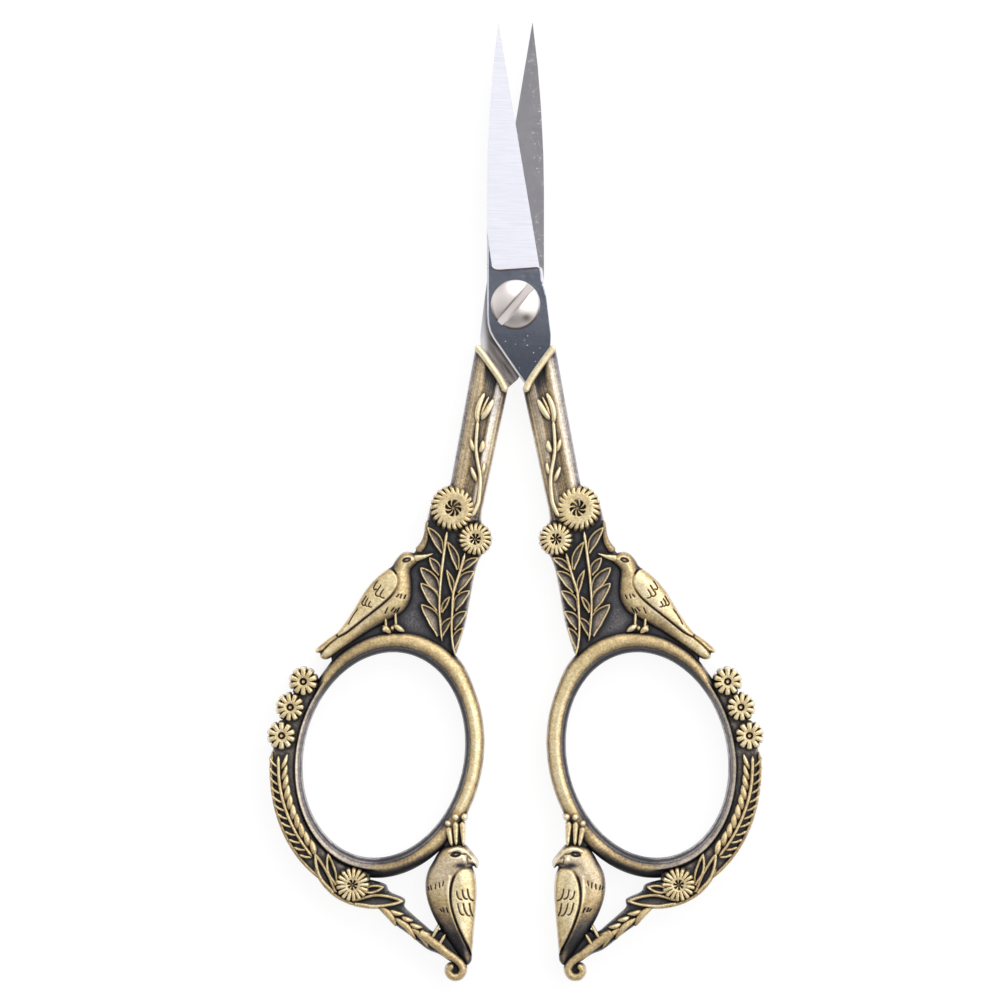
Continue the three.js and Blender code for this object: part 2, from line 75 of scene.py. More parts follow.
# Screw sizes
SCREW_HEAD_RADIUS = 3.28
SCREW_SHOULDER_RADIUS = 1.7
SCREW_THREAD_RADIUS = 1.35
SCREW_RIM_HEIGHT = 0.45
SCREW_DOME_HEIGHT = 1.05
SCREW_SLOT_WIDTH = 0.95
SCREW_SLOT_DEPTH = 0.75
SCREW_SLOT_ANGLE = math.radians(50)
SCREW_HEAD_CLEARANCE = 0.06
SCREW_END_STAND = 0.1
SCREW_END_CHAMFER = 0.15

# Shank and collar sizes
COLLAR_CENTRE = np.array([3.15, -8.35])
COLLAR_SLANT = math.radians(54.9)
COLLAR_WIDTH = 0.95
COLLAR_HEIGHT = 2.45
SHANK_TILT = math.radians(11.1)
SHANK_LENGTH = 20.4
SHANK_TOP_WIDTH = 5.3
SHANK_END_WIDTH = 4.75
SHANK_HEIGHT = 2.12
SHANK_RIM_HEIGHT = 0.75

# Ring sizes
RING_HOLE_CENTRE = np.array([17.55, -60.0])
RING_HOLE = np.array([21.3, 27.7]) / 2
RING_TILT = math.radians(13.2)
RING_BAND = np.array([2.15, 2.6])
RING_SHIFT = 0.42
RING_SWELL = 0.42
RING_HEIGHT = 1.95

# Relief heights above the middle plane
GROUND_HEIGHT = 1.1
LEAF_HEIGHT = 2.0
STEM_HEIGHT = 2.14
FLOWER_HEIGHT = 2.3
DAISY_HEIGHT = 2.2
SONGBIRD_HEIGHT = 2.28
SONGBIRD_RIM_HEIGHT = 0.85
CREST_BIRD_HEIGHT = 2.44
CREST_BIRD_RIM_HEIGHT = 0.9

# Flower sizes
LARGE_FLOWER_RADIUS = 3.1
SMALL_FLOWER_RADIUS = 2.3
DAISY_RADIUS = 1.98
BASE_DAISY_RADIUS = 2.4

# Spacing of the points of the square grids
BIRD_PITCH = 0.06
GROUND_PITCH = 0.24
PIN_PITCH = 0.07
SCREW_PITCH = 0.07
SLOT_PITCH = 0.12
WEAR_PITCH = 0.12

# Turning a half over for the other one, and a face over for its underside
TURNED_OVER = np.array([-1.0, 1.0, -1.0])
UNDERSIDE = np.array([1.0, 1.0, -1.0])

# The body and the node of each handle, and whether it is the half turned over
HANDLES = {"right": ("front_half", "right_handle", False), "left": ("rear_half", "left_handle", True)}


# Curves and distances

def smooth(low, high, value):
    """0 below low, 1 above high, and an S-shaped rise between."""
    t = np.clip((value - low) / (high - low), 0.0, 1.0)
    return t * t * (3.0 - 2.0 * t)


def plateau(start, full, fade, end, value):
    """0 outside start and end, 1 between full and fade, and S-shaped slopes between."""
    return smooth(start, full, value) * (1 - smooth(fade, end, value))


def bell(offset, width, power=2):
    """1 at no offset and 0 away from it. A higher power has a flatter top."""
    return np.exp(-((offset / width) ** power))


def spot(points, centre, size):
    """1 at the centre and 0 away from it, as a bell in both directions."""
    return np.exp(-((((points - np.array(centre)) / size) ** 2).sum(-1)))


def spline(points, samples, closed=False):
    """Evenly spaced points of the smooth curve through the given ones (Catmull-Rom)."""
    knots = np.asarray(points, float)
    if closed:
        before, start, end, after = (np.roll(knots, shift, axis=0) for shift in (1, 0, -1, -2))
    else:
        padded = np.vstack([2 * knots[0] - knots[1], knots, 2 * knots[-1] - knots[-2]])
        before, start, end, after = padded[:-3], padded[1:-2], padded[2:-1], padded[3:]
    t = np.linspace(0, 1, 20, endpoint=False)[None, :, None]
    b, s, e, a = (knot[:, None, :] for knot in (before, start, end, after))
    curve = 0.5 * (2 * s + (e - b) * t + (2 * b - 5 * s + 4 * e - a) * t**2 + (3 * s - b - 3 * e + a) * t**3)
    curve = np.vstack([curve.reshape(-1, 2), knots[:1] if closed else knots[-1:]])
    length = np.concatenate([[0], np.cumsum(np.linalg.norm(np.diff(curve, axis=0), axis=1))])
    even = np.linspace(0, length[-1], samples + closed)[:samples]
    return np.stack([np.interp(even, length, curve[:, axis]) for axis in (0, 1)], axis=1)


def turned(points, angle):
    """Points turned about the origin."""
    c, s = math.cos(angle), math.sin(angle)
    return np.asarray(points) @ np.array([[c, s], [-s, c]])


def circle(angle):
    """Unit vectors at the given angles."""
    return np.stack([np.cos(angle), np.sin(angle)], axis=-1)


def disc(centre, radius, count=40):
    """Evenly spaced points round a circle."""
    return np.asarray(centre) + radius * circle(np.linspace(0, 2 * math.pi, count, endpoint=False))


def sideways(path):
    """Unit vectors to the left of each point of a path."""
    ahead = np.gradient(path, axis=0)
    ahead /= np.linalg.norm(ahead, axis=1, keepdims=True)
    return np.stack([-ahead[:, 1], ahead[:, 0]], axis=1)


def portions(count, most=6000):
    """The numbers below count in portions, to keep the tables of distances small."""
    return np.array_split(np.arange(count), count // most + 1)


def nearest(points, line, closed=False):
    """For each point, the distance to a line of straight pieces and the foot of it."""
    ends = np.roll(line, -1, axis=0) if closed else line[1:]
    starts = line if closed else line[:-1]
    run = ends - starts
    squared = np.maximum((run**2).sum(1), 1e-12)
    distance = np.empty(len(points))
    foot = np.empty((len(points), 2))
    for part in portions(len(points)):
        offset = points[part, None, :] - starts
        t = np.clip((offset * run).sum(2) / squared, 0, 1)
        gap = offset - t[..., None] * run
        apart = (gap**2).sum(2)
        best = apart.argmin(1)
        row = np.arange(len(part))
        distance[part] = np.sqrt(apart[row, best])
        foot[part] = points[part] - gap[row, best]
    return distance, foot


def within(points, outline):
    """True for the points inside a closed outline: a ray to +X crosses it an odd number of times."""
    result = np.empty(len(points), bool)
    ends = np.roll(outline, -1, axis=0)
    rise = ends[:, 1] - outline[:, 1]
    rise = np.where(np.abs(rise) < 1e-12, 1e-12, rise)
    for part in portions(len(points)):
        x, y = points[part, 0, None], points[part, 1, None]
        spans = (outline[:, 1] > y) != (ends[:, 1] > y)
        cross = outline[:, 0] + (y - outline[:, 1]) / rise * (ends[:, 0] - outline[:, 0])
        result[part] = (spans & (x < cross)).sum(1) % 2 == 1
    return result


def depth_inside(points, outline):
    """Distance in from a closed outline, negative outside it."""
    distance, _ = nearest(points, outline, closed=True)
    return np.where(within(points, outline), distance, -distance)


def lines_cut(points, lines, width):
    """1 on any of the lines and 0 away from them, falling off as a bell of the given width."""
    cut = np.zeros(len(points))
    for line in lines:
        distance, _ = nearest(points, np.asarray(line, float))
        cut = np.maximum(cut, bell(distance, width))
    return cut


def corners_of(grid):
    """For each cell of a grid, the values at its four corners in turn."""
    return grid[:-1, :-1], grid[1:, :-1], grid[1:, 1:], grid[:-1, 1:]


# Castings

class Casting:
    """Closed shells of one piece, in the half frame. `sides` are the handles that have it.

    At each point, `dull` takes away from how bright it is rubbed, and `pale` is how far it is grey, not gold.
    Both carry patina and wear, and also painted light: painted highlights, painted shade and painted
    reflections.
    """

    def __init__(self, name, sides=()):
        self.name = name
        self.sides = sides
        self.points = np.empty((0, 3))
        self.dull = np.empty(0)
        self.pale = np.empty(0)
        self.faces = []

    def add(self, points, faces, dull=0.0, pale=0.0):
        self.faces += [face + len(self.points) for face in faces]
        self.points = np.vstack([self.points, points])
        self.dull = np.concatenate([self.dull, np.broadcast_to(dull, len(points))])
        self.pale = np.concatenate([self.pale, np.broadcast_to(pale, len(points))])

    def loops(self, grid, ring=False, dull=0.0, pale=0.0):
        """Closed loops, grid[i, j], joined one to the next, and capped at both ends or joined in a ring."""
        rows, columns = grid.shape[:2]
        index = np.arange(rows * columns).reshape(rows, columns)
        across = np.roll(index, -1, axis=1)
        count = rows if ring else rows - 1
        ahead, corner = (np.roll(part, -1, axis=0) for part in (index, across))
        faces = [np.stack([index, ahead, corner, across], axis=-1)[:count].reshape(-1, 4)]
        points = grid.reshape(-1, 3)
        shades = [np.broadcast_to(shade, grid.shape[:2]).ravel() for shade in (dull, pale)]
        if not ring:
            middle = len(points) + np.arange(2)
            points = np.vstack([points, grid[0].mean(0), grid[-1].mean(0)])
            first = np.stack([index[0], across[0], np.full(columns, middle[0])], axis=-1)
            last = np.stack([across[-1], index[-1], np.full(columns, middle[1])], axis=-1)
            faces += [first, last]
            shades = [np.append(shade, [0.0, 0.0]) for shade in shades]
        self.add(points, faces, *shades)

    def sheet(self, flat, top, dull=0.0, pale=0.0, ring=False):
        """A two-sided sheet: `top` is its height over each flat point, and its underside mirrors it."""
        top, dull, pale = (np.broadcast_to(value, flat.shape[:2]) for value in (top, dull, pale))
        upper = np.concatenate([flat, top[..., None]], axis=2)
        shades = [np.concatenate([shade, shade[:, ::-1]], axis=1) for shade in (dull, pale)]
        self.loops(np.concatenate([upper, upper[:, ::-1] * UNDERSIDE], axis=1), ring, *shades)

    def strip(self, path, half_width, top, dull=0.0, pale=0.0):
        """A two-sided strip along a path: top[i, j] is its height at station i and at j of the way across."""
        across = np.linspace(-1, 1, top.shape[1])
        flat = path[:, None, :] + sideways(path)[:, None, :] * (half_width[:, None] * across)[..., None]
        self.sheet(flat, top, dull, pale)

    def stem(self, points, start_width, end_width, height, crown=0.3, stations=40, dull=0.0):
        """A round-topped rib along a smooth curve: half an ellipse, `crown` high, on straight sides."""
        path = spline(points, stations)
        u = np.linspace(0, 1, stations)
        ends = np.sqrt(np.clip(np.minimum(u, 1 - u) * stations / 3, 0.05, 1))
        half_width = (start_width + (end_width - start_width) * u) / 2 * ends
        v = np.linspace(-1, 1, 13)
        top = height - crown * (1 - np.sqrt(1 - v**2)) - (1 - ends)[:, None] * crown * 0.6
        self.strip(path, half_width, top, dull)

    def leaf(self, root, tip, width, height, hollow=0.36, bend=0.0, rim=0.22, dull=0.06):
        """A broad-based leaf: a round-topped rim, `rim` wide, round a hollow that is darker towards the root.
        Painted light: the hollow's lower side is painted paler, and its upper side and upper rim are in
        painted shade.
        """
        stations = 36
        path = bowed(root, tip, bend, stations)
        u = np.linspace(0, 1, stations)
        point = np.clip((u - 0.42) / 0.58, 0, 1)
        half_width = width / 2 * (0.5 + 0.5 * smooth(0, 0.42, u)) * (0.04 + 0.96 * (1 - point**1.9) ** 0.75)
        v = np.linspace(-1, 1, 31)
        inset = half_width[:, None] * (1 - np.abs(v))
        rim = min(rim, 0.26 * width)
        wall = smooth(rim * 0.7, rim + 0.22, inset)
        drop = 0.2 * (1 - np.sqrt(np.clip(inset / 0.12, 0, 1)))
        below = -v * np.sign(sideways(path)[stations // 2, 1])
        # Painted light and shade: paler on the hollow's lower side, darker on its upper side and upper rim.
        shade = (dull + 0.16 - 0.1 * u[:, None] - 0.42 * below) * wall
        shade = shade + 0.14 * (1 - wall) * smooth(0.0, -0.6, below)
        self.strip(path, half_width, height - hollow * wall - drop, shade, (0.35 + 0.3 * below) * wall)

    def kernel(self, root, tip, width, height, bend=0.0, dull=0.0):
        """A full grain that bows from its root to its tip."""
        self.petal(bowed(root, tip, bend, 5), width, height, dull)

    def petal(self, points, width, height, dull=0.0, blunt=0.65):
        """A full petal along a curve: round across, fattest near its middle and closed at both ends."""
        stations = 28
        path = spline(points, stations)
        u = np.linspace(0, 1, stations)
        swell = np.sin(math.pi * u**0.9) ** blunt
        v = np.linspace(-1, 1, 13)
        top = height - 0.34 + 0.34 * swell[:, None] * np.sqrt(1 - v**2) - 0.12 * (1 - swell)[:, None]
        self.strip(path, width / 2 * (0.05 + 0.95 * swell), top, dull)

    def bloom(self, centre, radius, petals, height, cut_from, cut_depth, rim_cut, middle,
              slant=0.0, gap=0.36):
        """A round flower: rings from the middle of the top, over the rim, to the middle of the underside.

        Wedge-shaped cuts between the petals start at `cut_from` of the radius. `middle` gives the height
        taken off near the centre, for a share of the radius and an angle.
        """
        share = np.concatenate([np.linspace(0.01, 0.88, 36), [0.91, 0.935, 0.955, 0.975, 0.99, 1.0]])
        angle = np.linspace(0, 2 * math.pi, petals * 18, endpoint=False)
        s, a = np.meshgrid(share, angle, indexing="ij")
        turn = petals * (a + slant * np.maximum(s - cut_from, 0)) / (2 * math.pi)
        off = 2 * np.abs(turn - np.floor(turn) - 0.5)
        width = gap * (0.4 + 0.6 * smooth(cut_from, 1.0, s))
        cut = smooth(1 - width, 1 - 0.2 * width, off) * smooth(cut_from, cut_from + 0.1, s)
        reach = radius * s * (1 - rim_cut * off**4 * smooth(0.7, 1.0, s))
        crown = np.where(s > 0.6, 0.16 * ((s - 0.6) / 0.4) ** 2, 0.2 * ((0.6 - s) / 0.6) ** 2)
        fall = crown + 0.55 * smooth(0.82, 1.0, s) ** 1.6 + 0.3 * off**2 * smooth(cut_from - 0.05, 0.9, s)
        top = height - fall - cut_depth * cut - middle(s, a)
        flat = np.asarray(centre) + reach[..., None] * circle(a)
        upper = np.concatenate([flat, top[..., None]], axis=2)
        self.loops(np.concatenate([upper, upper[::-1] * UNDERSIDE]), dull=-0.06)

    def relief(self, outline, height, pitch, lower=None, dull=None, pale=None):
        """A square grid cut to a closed outline, with its rim points drawn on to the outline.

        `height` gives the top for points and their depth inside the outline. The underside mirrors it, or
        is flat at `lower`.
        """
        low = outline.min(0) - pitch
        steps = np.ceil((outline.max(0) + pitch - low) / pitch).astype(int) + 1
        x, y = np.meshgrid(*(low[k] + pitch * np.arange(steps[k]) for k in (0, 1)), indexing="ij")
        points = np.stack([x.ravel(), y.ravel()], axis=1)
        inside = (depth_inside(points, outline) > -0.45 * pitch).reshape(x.shape)
        cell = np.all(corners_of(inside), axis=0)
        framed = np.pad(cell, 1)
        used = np.any(corners_of(framed), axis=0)
        whole = np.all(corners_of(framed), axis=0)
        number = np.cumsum(used).reshape(used.shape) - 1
        flat = points[used.ravel()]
        rim = (used & ~whole)[used]
        _, foot = nearest(flat[rim], outline, closed=True)
        flat[rim] = foot
        depth = np.maximum(depth_inside(flat, outline), 0)
        depth[rim] = 0
        top = height(flat, depth)
        count = len(flat)
        a, b, c, d = corners_of(number)
        quads = np.stack([a, b, c, d], axis=-1)[cell]
        sides = ((a, b), (b, c), (c, d), (d, a))
        beyond = (framed[1:-1, :-2], framed[2:, 1:-1], framed[1:-1, 2:], framed[:-2, 1:-1])
        edge = np.vstack([np.stack(side, axis=-1)[cell & ~past] for side, past in zip(sides, beyond)])
        wall = np.stack([edge[:, 0], edge[:, 0] + count, edge[:, 1] + count, edge[:, 1]], axis=1)
        under = -top if lower is None else np.full(count, lower)
        points = np.vstack([np.column_stack([flat, top]), np.column_stack([flat, under])])
        shades = [0.0 if shade is None else np.tile(shade(flat), 2) for shade in (dull, pale)]
        self.add(points, [quads, quads[:, ::-1] + count, wall], *shades)

    def cut_at_waist(self):
        """Cuts the upright faces in two at the middle plane, so that their shade can change there."""
        up = self.points[:, 2] > 0
        quads = np.vstack([face for face in self.faces if face.shape[1] == 4])
        fans = np.vstack([np.empty((0, 3), int)] + [face for face in self.faces if face.shape[1] == 3])
        crossing = up[quads].any(1) & ~up[quads].all(1)
        upright = quads[crossing]
        first = (up[upright] & ~np.roll(up[upright], -1, axis=1)).argmax(1)
        a, b, c, d = upright[np.arange(len(upright))[:, None], (first[:, None] + np.arange(4)) % 4].T
        ends = up[fans[:, 0]] != up[fans[:, 1]]
        start, stop, tip = fans[ends].T
        pairs = np.concatenate([np.stack(pair, axis=1) for pair in ((a, b), (d, c), (start, stop))])
        pairs, which = np.unique(np.sort(pairs, axis=1), axis=0, return_inverse=True)
        middle = len(self.points) + which.ravel()
        left, right, end = np.split(middle, [len(a), 2 * len(a)])
        walls = [np.stack(corners, axis=1) for corners in ((a, left, right, d), (left, b, c, right))]
        caps = [np.stack(corners, axis=1) for corners in ((start, end, tip), (end, stop, tip))]
        self.faces = [np.vstack([quads[~crossing], *walls]), np.vstack([fans[~ends], *caps])]
        self.points = np.vstack([self.points, self.points[pairs].mean(1)])
        self.dull = np.append(self.dull, self.dull[pairs].mean(1))
        self.pale = np.append(self.pale, self.pale[pairs].mean(1))


def pillow(depth, low, high, radius):
    """Height over a rounded rim: up a quarter round of the given radius from low to high."""
    t = np.clip(depth / radius, 0, 1)
    return low + (high - low) * np.sqrt(1 - (1 - t) ** 2)


def bowed(root, tip, bend, samples):
    """A path from root to tip that bows to its left by `bend` of its length."""
    root, tip = np.asarray(root, float), np.asarray(tip, float)
    run = tip - root
    return spline([root, (root + tip) / 2 + bend * np.array([-run[1], run[0]]), tip], samples)


# Places on the handle

SHANK_AXIS = turned([0, -1], SHANK_TILT)
SHANK_SIDE = turned([1, 0], SHANK_TILT)
RING_OUTER_CENTRE = RING_HOLE_CENTRE + turned([-RING_SHIFT, 0], RING_TILT)


def on_shank(along, aside):
    """Points of the shank: a distance down it from the collar, and one out from its middle line."""
    along, aside = np.broadcast_arrays(np.asarray(along, float), np.asarray(aside, float))
    return COLLAR_CENTRE + along[..., None] * SHANK_AXIS + aside[..., None] * SHANK_SIDE


def on_ring(degrees, out=0.0):
    """Points round the finger ring: an angle, and a distance out from its outer edge."""
    angle = np.radians(np.asarray(degrees, float))
    reach = RING_HOLE + RING_BAND + np.asarray(out, float)[..., None]
    return RING_OUTER_CENTRE + turned(reach * circle(angle), RING_TILT)


def finger_ring(casting):
    """An oval band between the hole's ellipse and the outer one: a section of heights carried round them.

    The section has a broad crest and a steep slope to the hole, which is painted paler and grey as a
    reflection of the bright surroundings. Beside the garland its outer part is sunk, and over the web the
    band is a little wider.
    """
    degrees = np.linspace(-180, 180, 400, endpoint=False)
    unit = circle(np.radians(degrees))
    inner = RING_HOLE_CENTRE + turned(RING_HOLE * unit, RING_TILT)
    swell = RING_SWELL * plateau(28, 48, 118, 140, degrees)
    outer = RING_OUTER_CENTRE + turned((RING_HOLE + RING_BAND + swell[:, None]) * unit, RING_TILT)
    section = spline([(-1, 0.4), (-0.88, 0.86), (-0.72, 1.24), (-0.56, 1.55), (-0.4, 1.77), (-0.2, 1.9),
                      (0.05, RING_HEIGHT), (0.3, 1.9), (0.55, 1.76), (0.76, 1.5), (0.92, 1.1), (1, 0.6)], 240)
    across = np.concatenate([np.linspace(1, 0.8, 9), np.linspace(0.75, -0.5, 26), np.linspace(-0.54, -1, 13)])
    beside = plateau(-108, -90, 20, 34, degrees)
    sunk = beside[:, None] * smooth(0.0, 0.34, across)
    top = np.maximum(np.interp(across, section[:, 0], section[:, 1]) - 0.85 * sunk, 0.3)
    flat = (inner + outer)[:, None, :] / 2 + (outer - inner)[:, None, :] / 2 * across[None, :, None]
    # Darker near the top and the bottom of the band and paler on its side towards the middle, by angle.
    worn = np.interp(degrees, [-180, -140, -122, -98, -75, -20, 20, 48, 75, 100, 125, 150, 180],
                     [-0.1, 0.0, 0.22, 0.2, 0.08, 0.04, 0.1, 0.18, 0.12, 0.04, -0.04, -0.1, -0.1])
    dull = worn[:, None] + 0.16 * plateau(0.05, -0.36, -0.44, -0.54, across)
    dull = dull + (0.2 - 0.16 * beside[:, None]) * bell(across + 0.46, 0.07)
    slope = smooth(-0.44, -0.56, across)
    # Painted shade: the band is painted darker round the crest bird's pins.
    pins = spot(flat, (8.0, -70.4), 1.7)
    # Painted shade: at the bottom of the band the outer side, facing away from the light, is painted darker.
    low = plateau(-150, -128, -100, -88, degrees)
    depth = np.interp(degrees, [-180, -150, -125, -105, 100, 150, 180],
                      [0.0, -0.06, 0.0, 0.14, 0.14, 0.04, 0.0])
    dull = dull + 0.44 * pins + 0.5 * low[:, None] * smooth(-0.05, 0.55, across)
    dull = dull + (depth - 0.26 * beside - worn)[:, None] * slope
    # Painted reflection: the steep slope to the hole is painted grey and paler.
    pale = 0.85 * slope + 0.6 * beside[:, None] * (1 - slope) * (1 - sunk)
    casting.sheet(flat, top, dull, pale, ring=True)


def shank(casting, pale_outside, pale_inside):
    """A bar from the slanted collar to the flowers: heights across it, sunk in a shallow panel for the vine.

    Its full outer side is streaked along its length. The inner side has a facet and a thin tan rim. Painted
    light: the outer facet of the right handle and the inner facet of the left one, which face the right-hand
    lamp, are painted paler and brighter.
    """
    v = np.linspace(-1, 1, 101)
    u = np.linspace(0, 1, 160)[:, None]
    slant = 1 / math.tan(math.radians(90) - (COLLAR_SLANT - SHANK_TILT))
    width = (SHANK_TOP_WIDTH + (SHANK_END_WIDTH - SHANK_TOP_WIDTH) * u) / 2
    start = -slant * v * SHANK_TOP_WIDTH / 2
    along = start * (1 - u) + SHANK_LENGTH * u
    flat = on_shank(along, v * width)
    below = along - start
    edge = np.sqrt(np.clip(1 - np.abs(v) ** 2.6, 0, 1))
    panel = plateau(-0.44, -0.24, 0.12, 0.5, v)
    # Darker just below the collar: patina in the deeper panel, and a painted shadow of the collar.
    under = 1 - smooth(0.3, 4.6, below)
    top = SHANK_RIM_HEIGHT + (SHANK_HEIGHT - SHANK_RIM_HEIGHT) * edge
    top = top - panel * (0.26 + 0.24 * under) - 0.3 * smooth(0.88, 1.0, u)
    streak = np.sin(31 * v + 2.2 * np.sin(9 * v) + 0.5 * np.sin(0.6 * along)) + np.sin(67 * v + 0.35 * along)
    facet = bell(v + 0.55, 0.17, 4) * smooth(0.5, 1.4, below)
    # Painted reflection: the outer edge is painted paler and brighter, for the bright surroundings it
    # reflects.
    rim = smooth(-0.7, -0.8, v)
    painted_rim_reflection = smooth(0.72, 0.92, v)
    dull = 0.16 + 0.05 * streak + 0.08 * panel + 0.26 * under * panel + 0.06 * under
    # Painted light: the facets that face the right-hand lamp are painted paler and brighter.
    lower_facet = smooth(2.0, 8.0, below)
    outer_facet = bell(v - 0.68, 0.2, 4)
    dull = dull - pale_inside * (0.16 + 0.12 * lower_facet) * facet - (0.16 + 0.26 * lower_facet) * rim
    dull = dull - 0.12 * pale_outside * outer_facet
    dull = dull - 0.1 * bell(v - 0.6, 0.14) - 0.2 * painted_rim_reflection
    pale = pale_inside * (0.7 - 0.2 * lower_facet) * facet + 0.4 * pale_outside * outer_facet
    pale = pale + 0.6 * painted_rim_reflection + 0.22 * (1 - panel) + 0.05 * streak
    casting.sheet(flat, top, dull, pale)


def collar(casting):
    """A round-topped bar across the top of the shank, which turns down at its inner end."""
    bar = [(5.3, -5.42), (4.3, -6.72), (3.2, -8.25), (2.25, -9.65), (1.62, -10.8), (1.3, -11.65)]
    casting.stem(bar, COLLAR_WIDTH, COLLAR_WIDTH, COLLAR_HEIGHT, crown=0.4, stations=60, dull=-0.12)


def vine(casting):
    """A budding vine in the shank's panel: a wavy stem, three bud petals and four small leaves."""
    stem = [(5.75, -28.2), (5.0, -26.5), (4.8, -25.2), (4.68, -23.8), (4.75, -22.4), (5.02, -20.9),
            (5.24, -19.3), (5.2, -17.7), (5.02, -15.5)]
    shine = -0.14
    casting.stem(stem, 0.55, 0.46, 2.42, crown=0.3, stations=90, dull=shine)
    for points, width, height, blunt in (
        ([(5.04, -15.75), (5.1, -14.7), (4.96, -13.8), (4.66, -12.9), (4.12, -11.75)], 0.78, 2.44, 0.4),
        ([(4.66, -14.9), (4.16, -13.5), (3.52, -12.2)], 0.38, 2.38, 0.4),
        ([(4.56, -15.3), (3.78, -14.15), (2.9, -12.6)], 0.86, 2.44, 0.45),
        ([(5.5, -19.6), (5.75, -18.8), (6.0, -17.8)], 0.58, 2.36, 0.5),
        ([(4.78, -19.7), (4.42, -18.95), (4.3, -18.05)], 0.76, 2.4, 0.5),
        ([(5.12, -23.6), (5.5, -22.7), (5.95, -21.55)], 0.64, 2.36, 0.5),
        ([(4.5, -22.6), (4.25, -21.8), (4.15, -20.95)], 0.54, 2.36, 0.5),
    ):
        casting.petal(points, width, height, shine, blunt)


def ground(casting):
    """The sunk dark ground of the casting: the web behind the leaves, the garland's bed and the base."""
    def plate(outline, height=GROUND_HEIGHT, dull=0.04, pale=0.75, painted_border_reflection=0.0):
        def top(at, depth):
            return pillow(depth, height - 0.35, height, 0.3)

        # Painted reflection: the plate is painted brighter near its outline.
        def shade(at):
            return dull - painted_border_reflection * bell(depth_inside(at, outline), 0.45)

        casting.relief(outline, top, GROUND_PITCH, None, shade, lambda at: np.full(len(at), pale))

    web = np.vstack([
        spline([(4.35, -26.5), (4.55, -28.6), (4.3, -30.0), (4.0, -32.2), (4.85, -34.0), (5.35, -35.6),
                (5.85, -38.1), (6.3, -40.75), (6.8, -43.1), (7.75, -46.2)], 40),
        on_ring(np.linspace(117, 36, 30), -0.9),
        spline([(24.6, -45.6), (21.4, -43.2), (18.0, -39.5), (15.2, -35.6), (13.9, -33.6)], 16),
        spline([(13.3, -32.75), (12.55, -31.9), (12.0, -30.6), (11.85, -28.9), (11.2, -26.6), (9.6, -25.0),
                (8.6, -24.2)], 16),
    ])
    plate(web, painted_border_reflection=0.4)
    bed = np.vstack([
        on_ring(np.linspace(29, -97, 60), -0.9),
        on_ring(np.linspace(-97, -66, 12), np.linspace(2.2, 2.55, 12)),
        on_ring(np.linspace(-64, -10, 30), 2.5),
        on_ring(np.linspace(-8, 26, 20), np.linspace(2.3, 1.2, 20)),
    ])
    plate(bed, dull=-0.26, pale=0.4)
    base = spline([
        (24.2, -77.6), (22.0, -79.7), (20.2, -80.35), (18.3, -80.45), (16.8, -82.0), (14.2, -83.9),
        (11.8, -85.8), (10.2, -86.5), (8.8, -87.4), (7.4, -88.0), (6.4, -87.6), (8.0, -85.4), (9.6, -83.3),
        (10.9, -83.6), (12.2, -82.6), (13.8, -81.2), (14.8, -80.2), (14.75, -79.2), (16.8, -78.2),
        (17.4, -77.2), (20.2, -76.4), (23.4, -75.4),
    ], 160, closed=True)
    plate(base, dull=-0.02)
    crest_bed = np.array([(7.2, -72.6), (7.15, -68.9), (9.2, -69.4), (9.6, -72.4)])
    plate(spline(crest_bed, 40, closed=True), GROUND_HEIGHT + 0.1)
    plate(disc((7.95, -88.6), 1.1), GROUND_HEIGHT + 0.1)


def leaf_sprays(casting):
    """Two stems that rise from the ring, with hollow leaves down both sides, and the web's flared rim."""
    outer = [(9.76, -44.8), (9.92, -43.5), (10.1, -41.2), (10.1, -39.0), (9.92, -36.4), (9.55, -33.3),
             (9.12, -30.2)]
    inner = [(8.0, -46.7), (8.3, -45.4), (8.46, -44.1), (8.5, -42.4), (8.42, -41.0), (8.36, -39.5),
             (8.2, -38.1), (7.75, -36.7), (7.2, -34.9), (6.72, -33.1)]
    casting.stem(outer, 0.26, 0.42, STEM_HEIGHT, stations=70)
    casting.stem(inner, 0.3, 0.42, STEM_HEIGHT, stations=70)
    outer_leaves = [
        ((9.68, -33.0), (11.7, -29.6), 1.32, 0.06),
        ((10.05, -35.95), (11.46, -33.66), 1.26, 0.05),
        ((10.15, -38.2), (12.66, -34.98), 1.68, 0.04),
        ((10.2, -40.7), (12.62, -37.05), 1.74, 0.07),
        ((10.1, -44.0), (12.55, -39.9), 1.86, 0.1),
        ((9.85, -40.95), (8.7, -38.8), 0.86, -0.05),
        ((9.85, -44.05), (8.4, -41.6), 1.14, -0.1),
    ]
    inner_leaves = [
        ((7.62, -35.25), (9.1, -31.5), 1.14, 0.06),
        ((8.28, -38.5), (9.2, -35.25), 0.86, 0.06),
        ((7.25, -35.4), (4.92, -33.68), 1.1, -0.08),
        ((7.85, -38.25), (5.5, -35.45), 1.56, -0.1),
        ((8.15, -40.65), (6.08, -38.05), 1.44, -0.1),
        ((8.3, -43.2), (6.5, -40.8), 1.44, -0.12),
        ((8.2, -45.8), (6.95, -42.95), 1.2, -0.1),
    ]
    for root, tip, width, bend in outer_leaves + inner_leaves:
        casting.leaf(root, tip, width, LEAF_HEIGHT, bend=bend)
    flare = [(11.72, -28.7), (11.8, -29.6), (11.85, -30.5), (12.02, -31.3), (12.4, -32.1), (13.1, -32.95)]
    casting.stem(flare, 0.45, 1.15, 1.75, crown=0.45, dull=0.2)


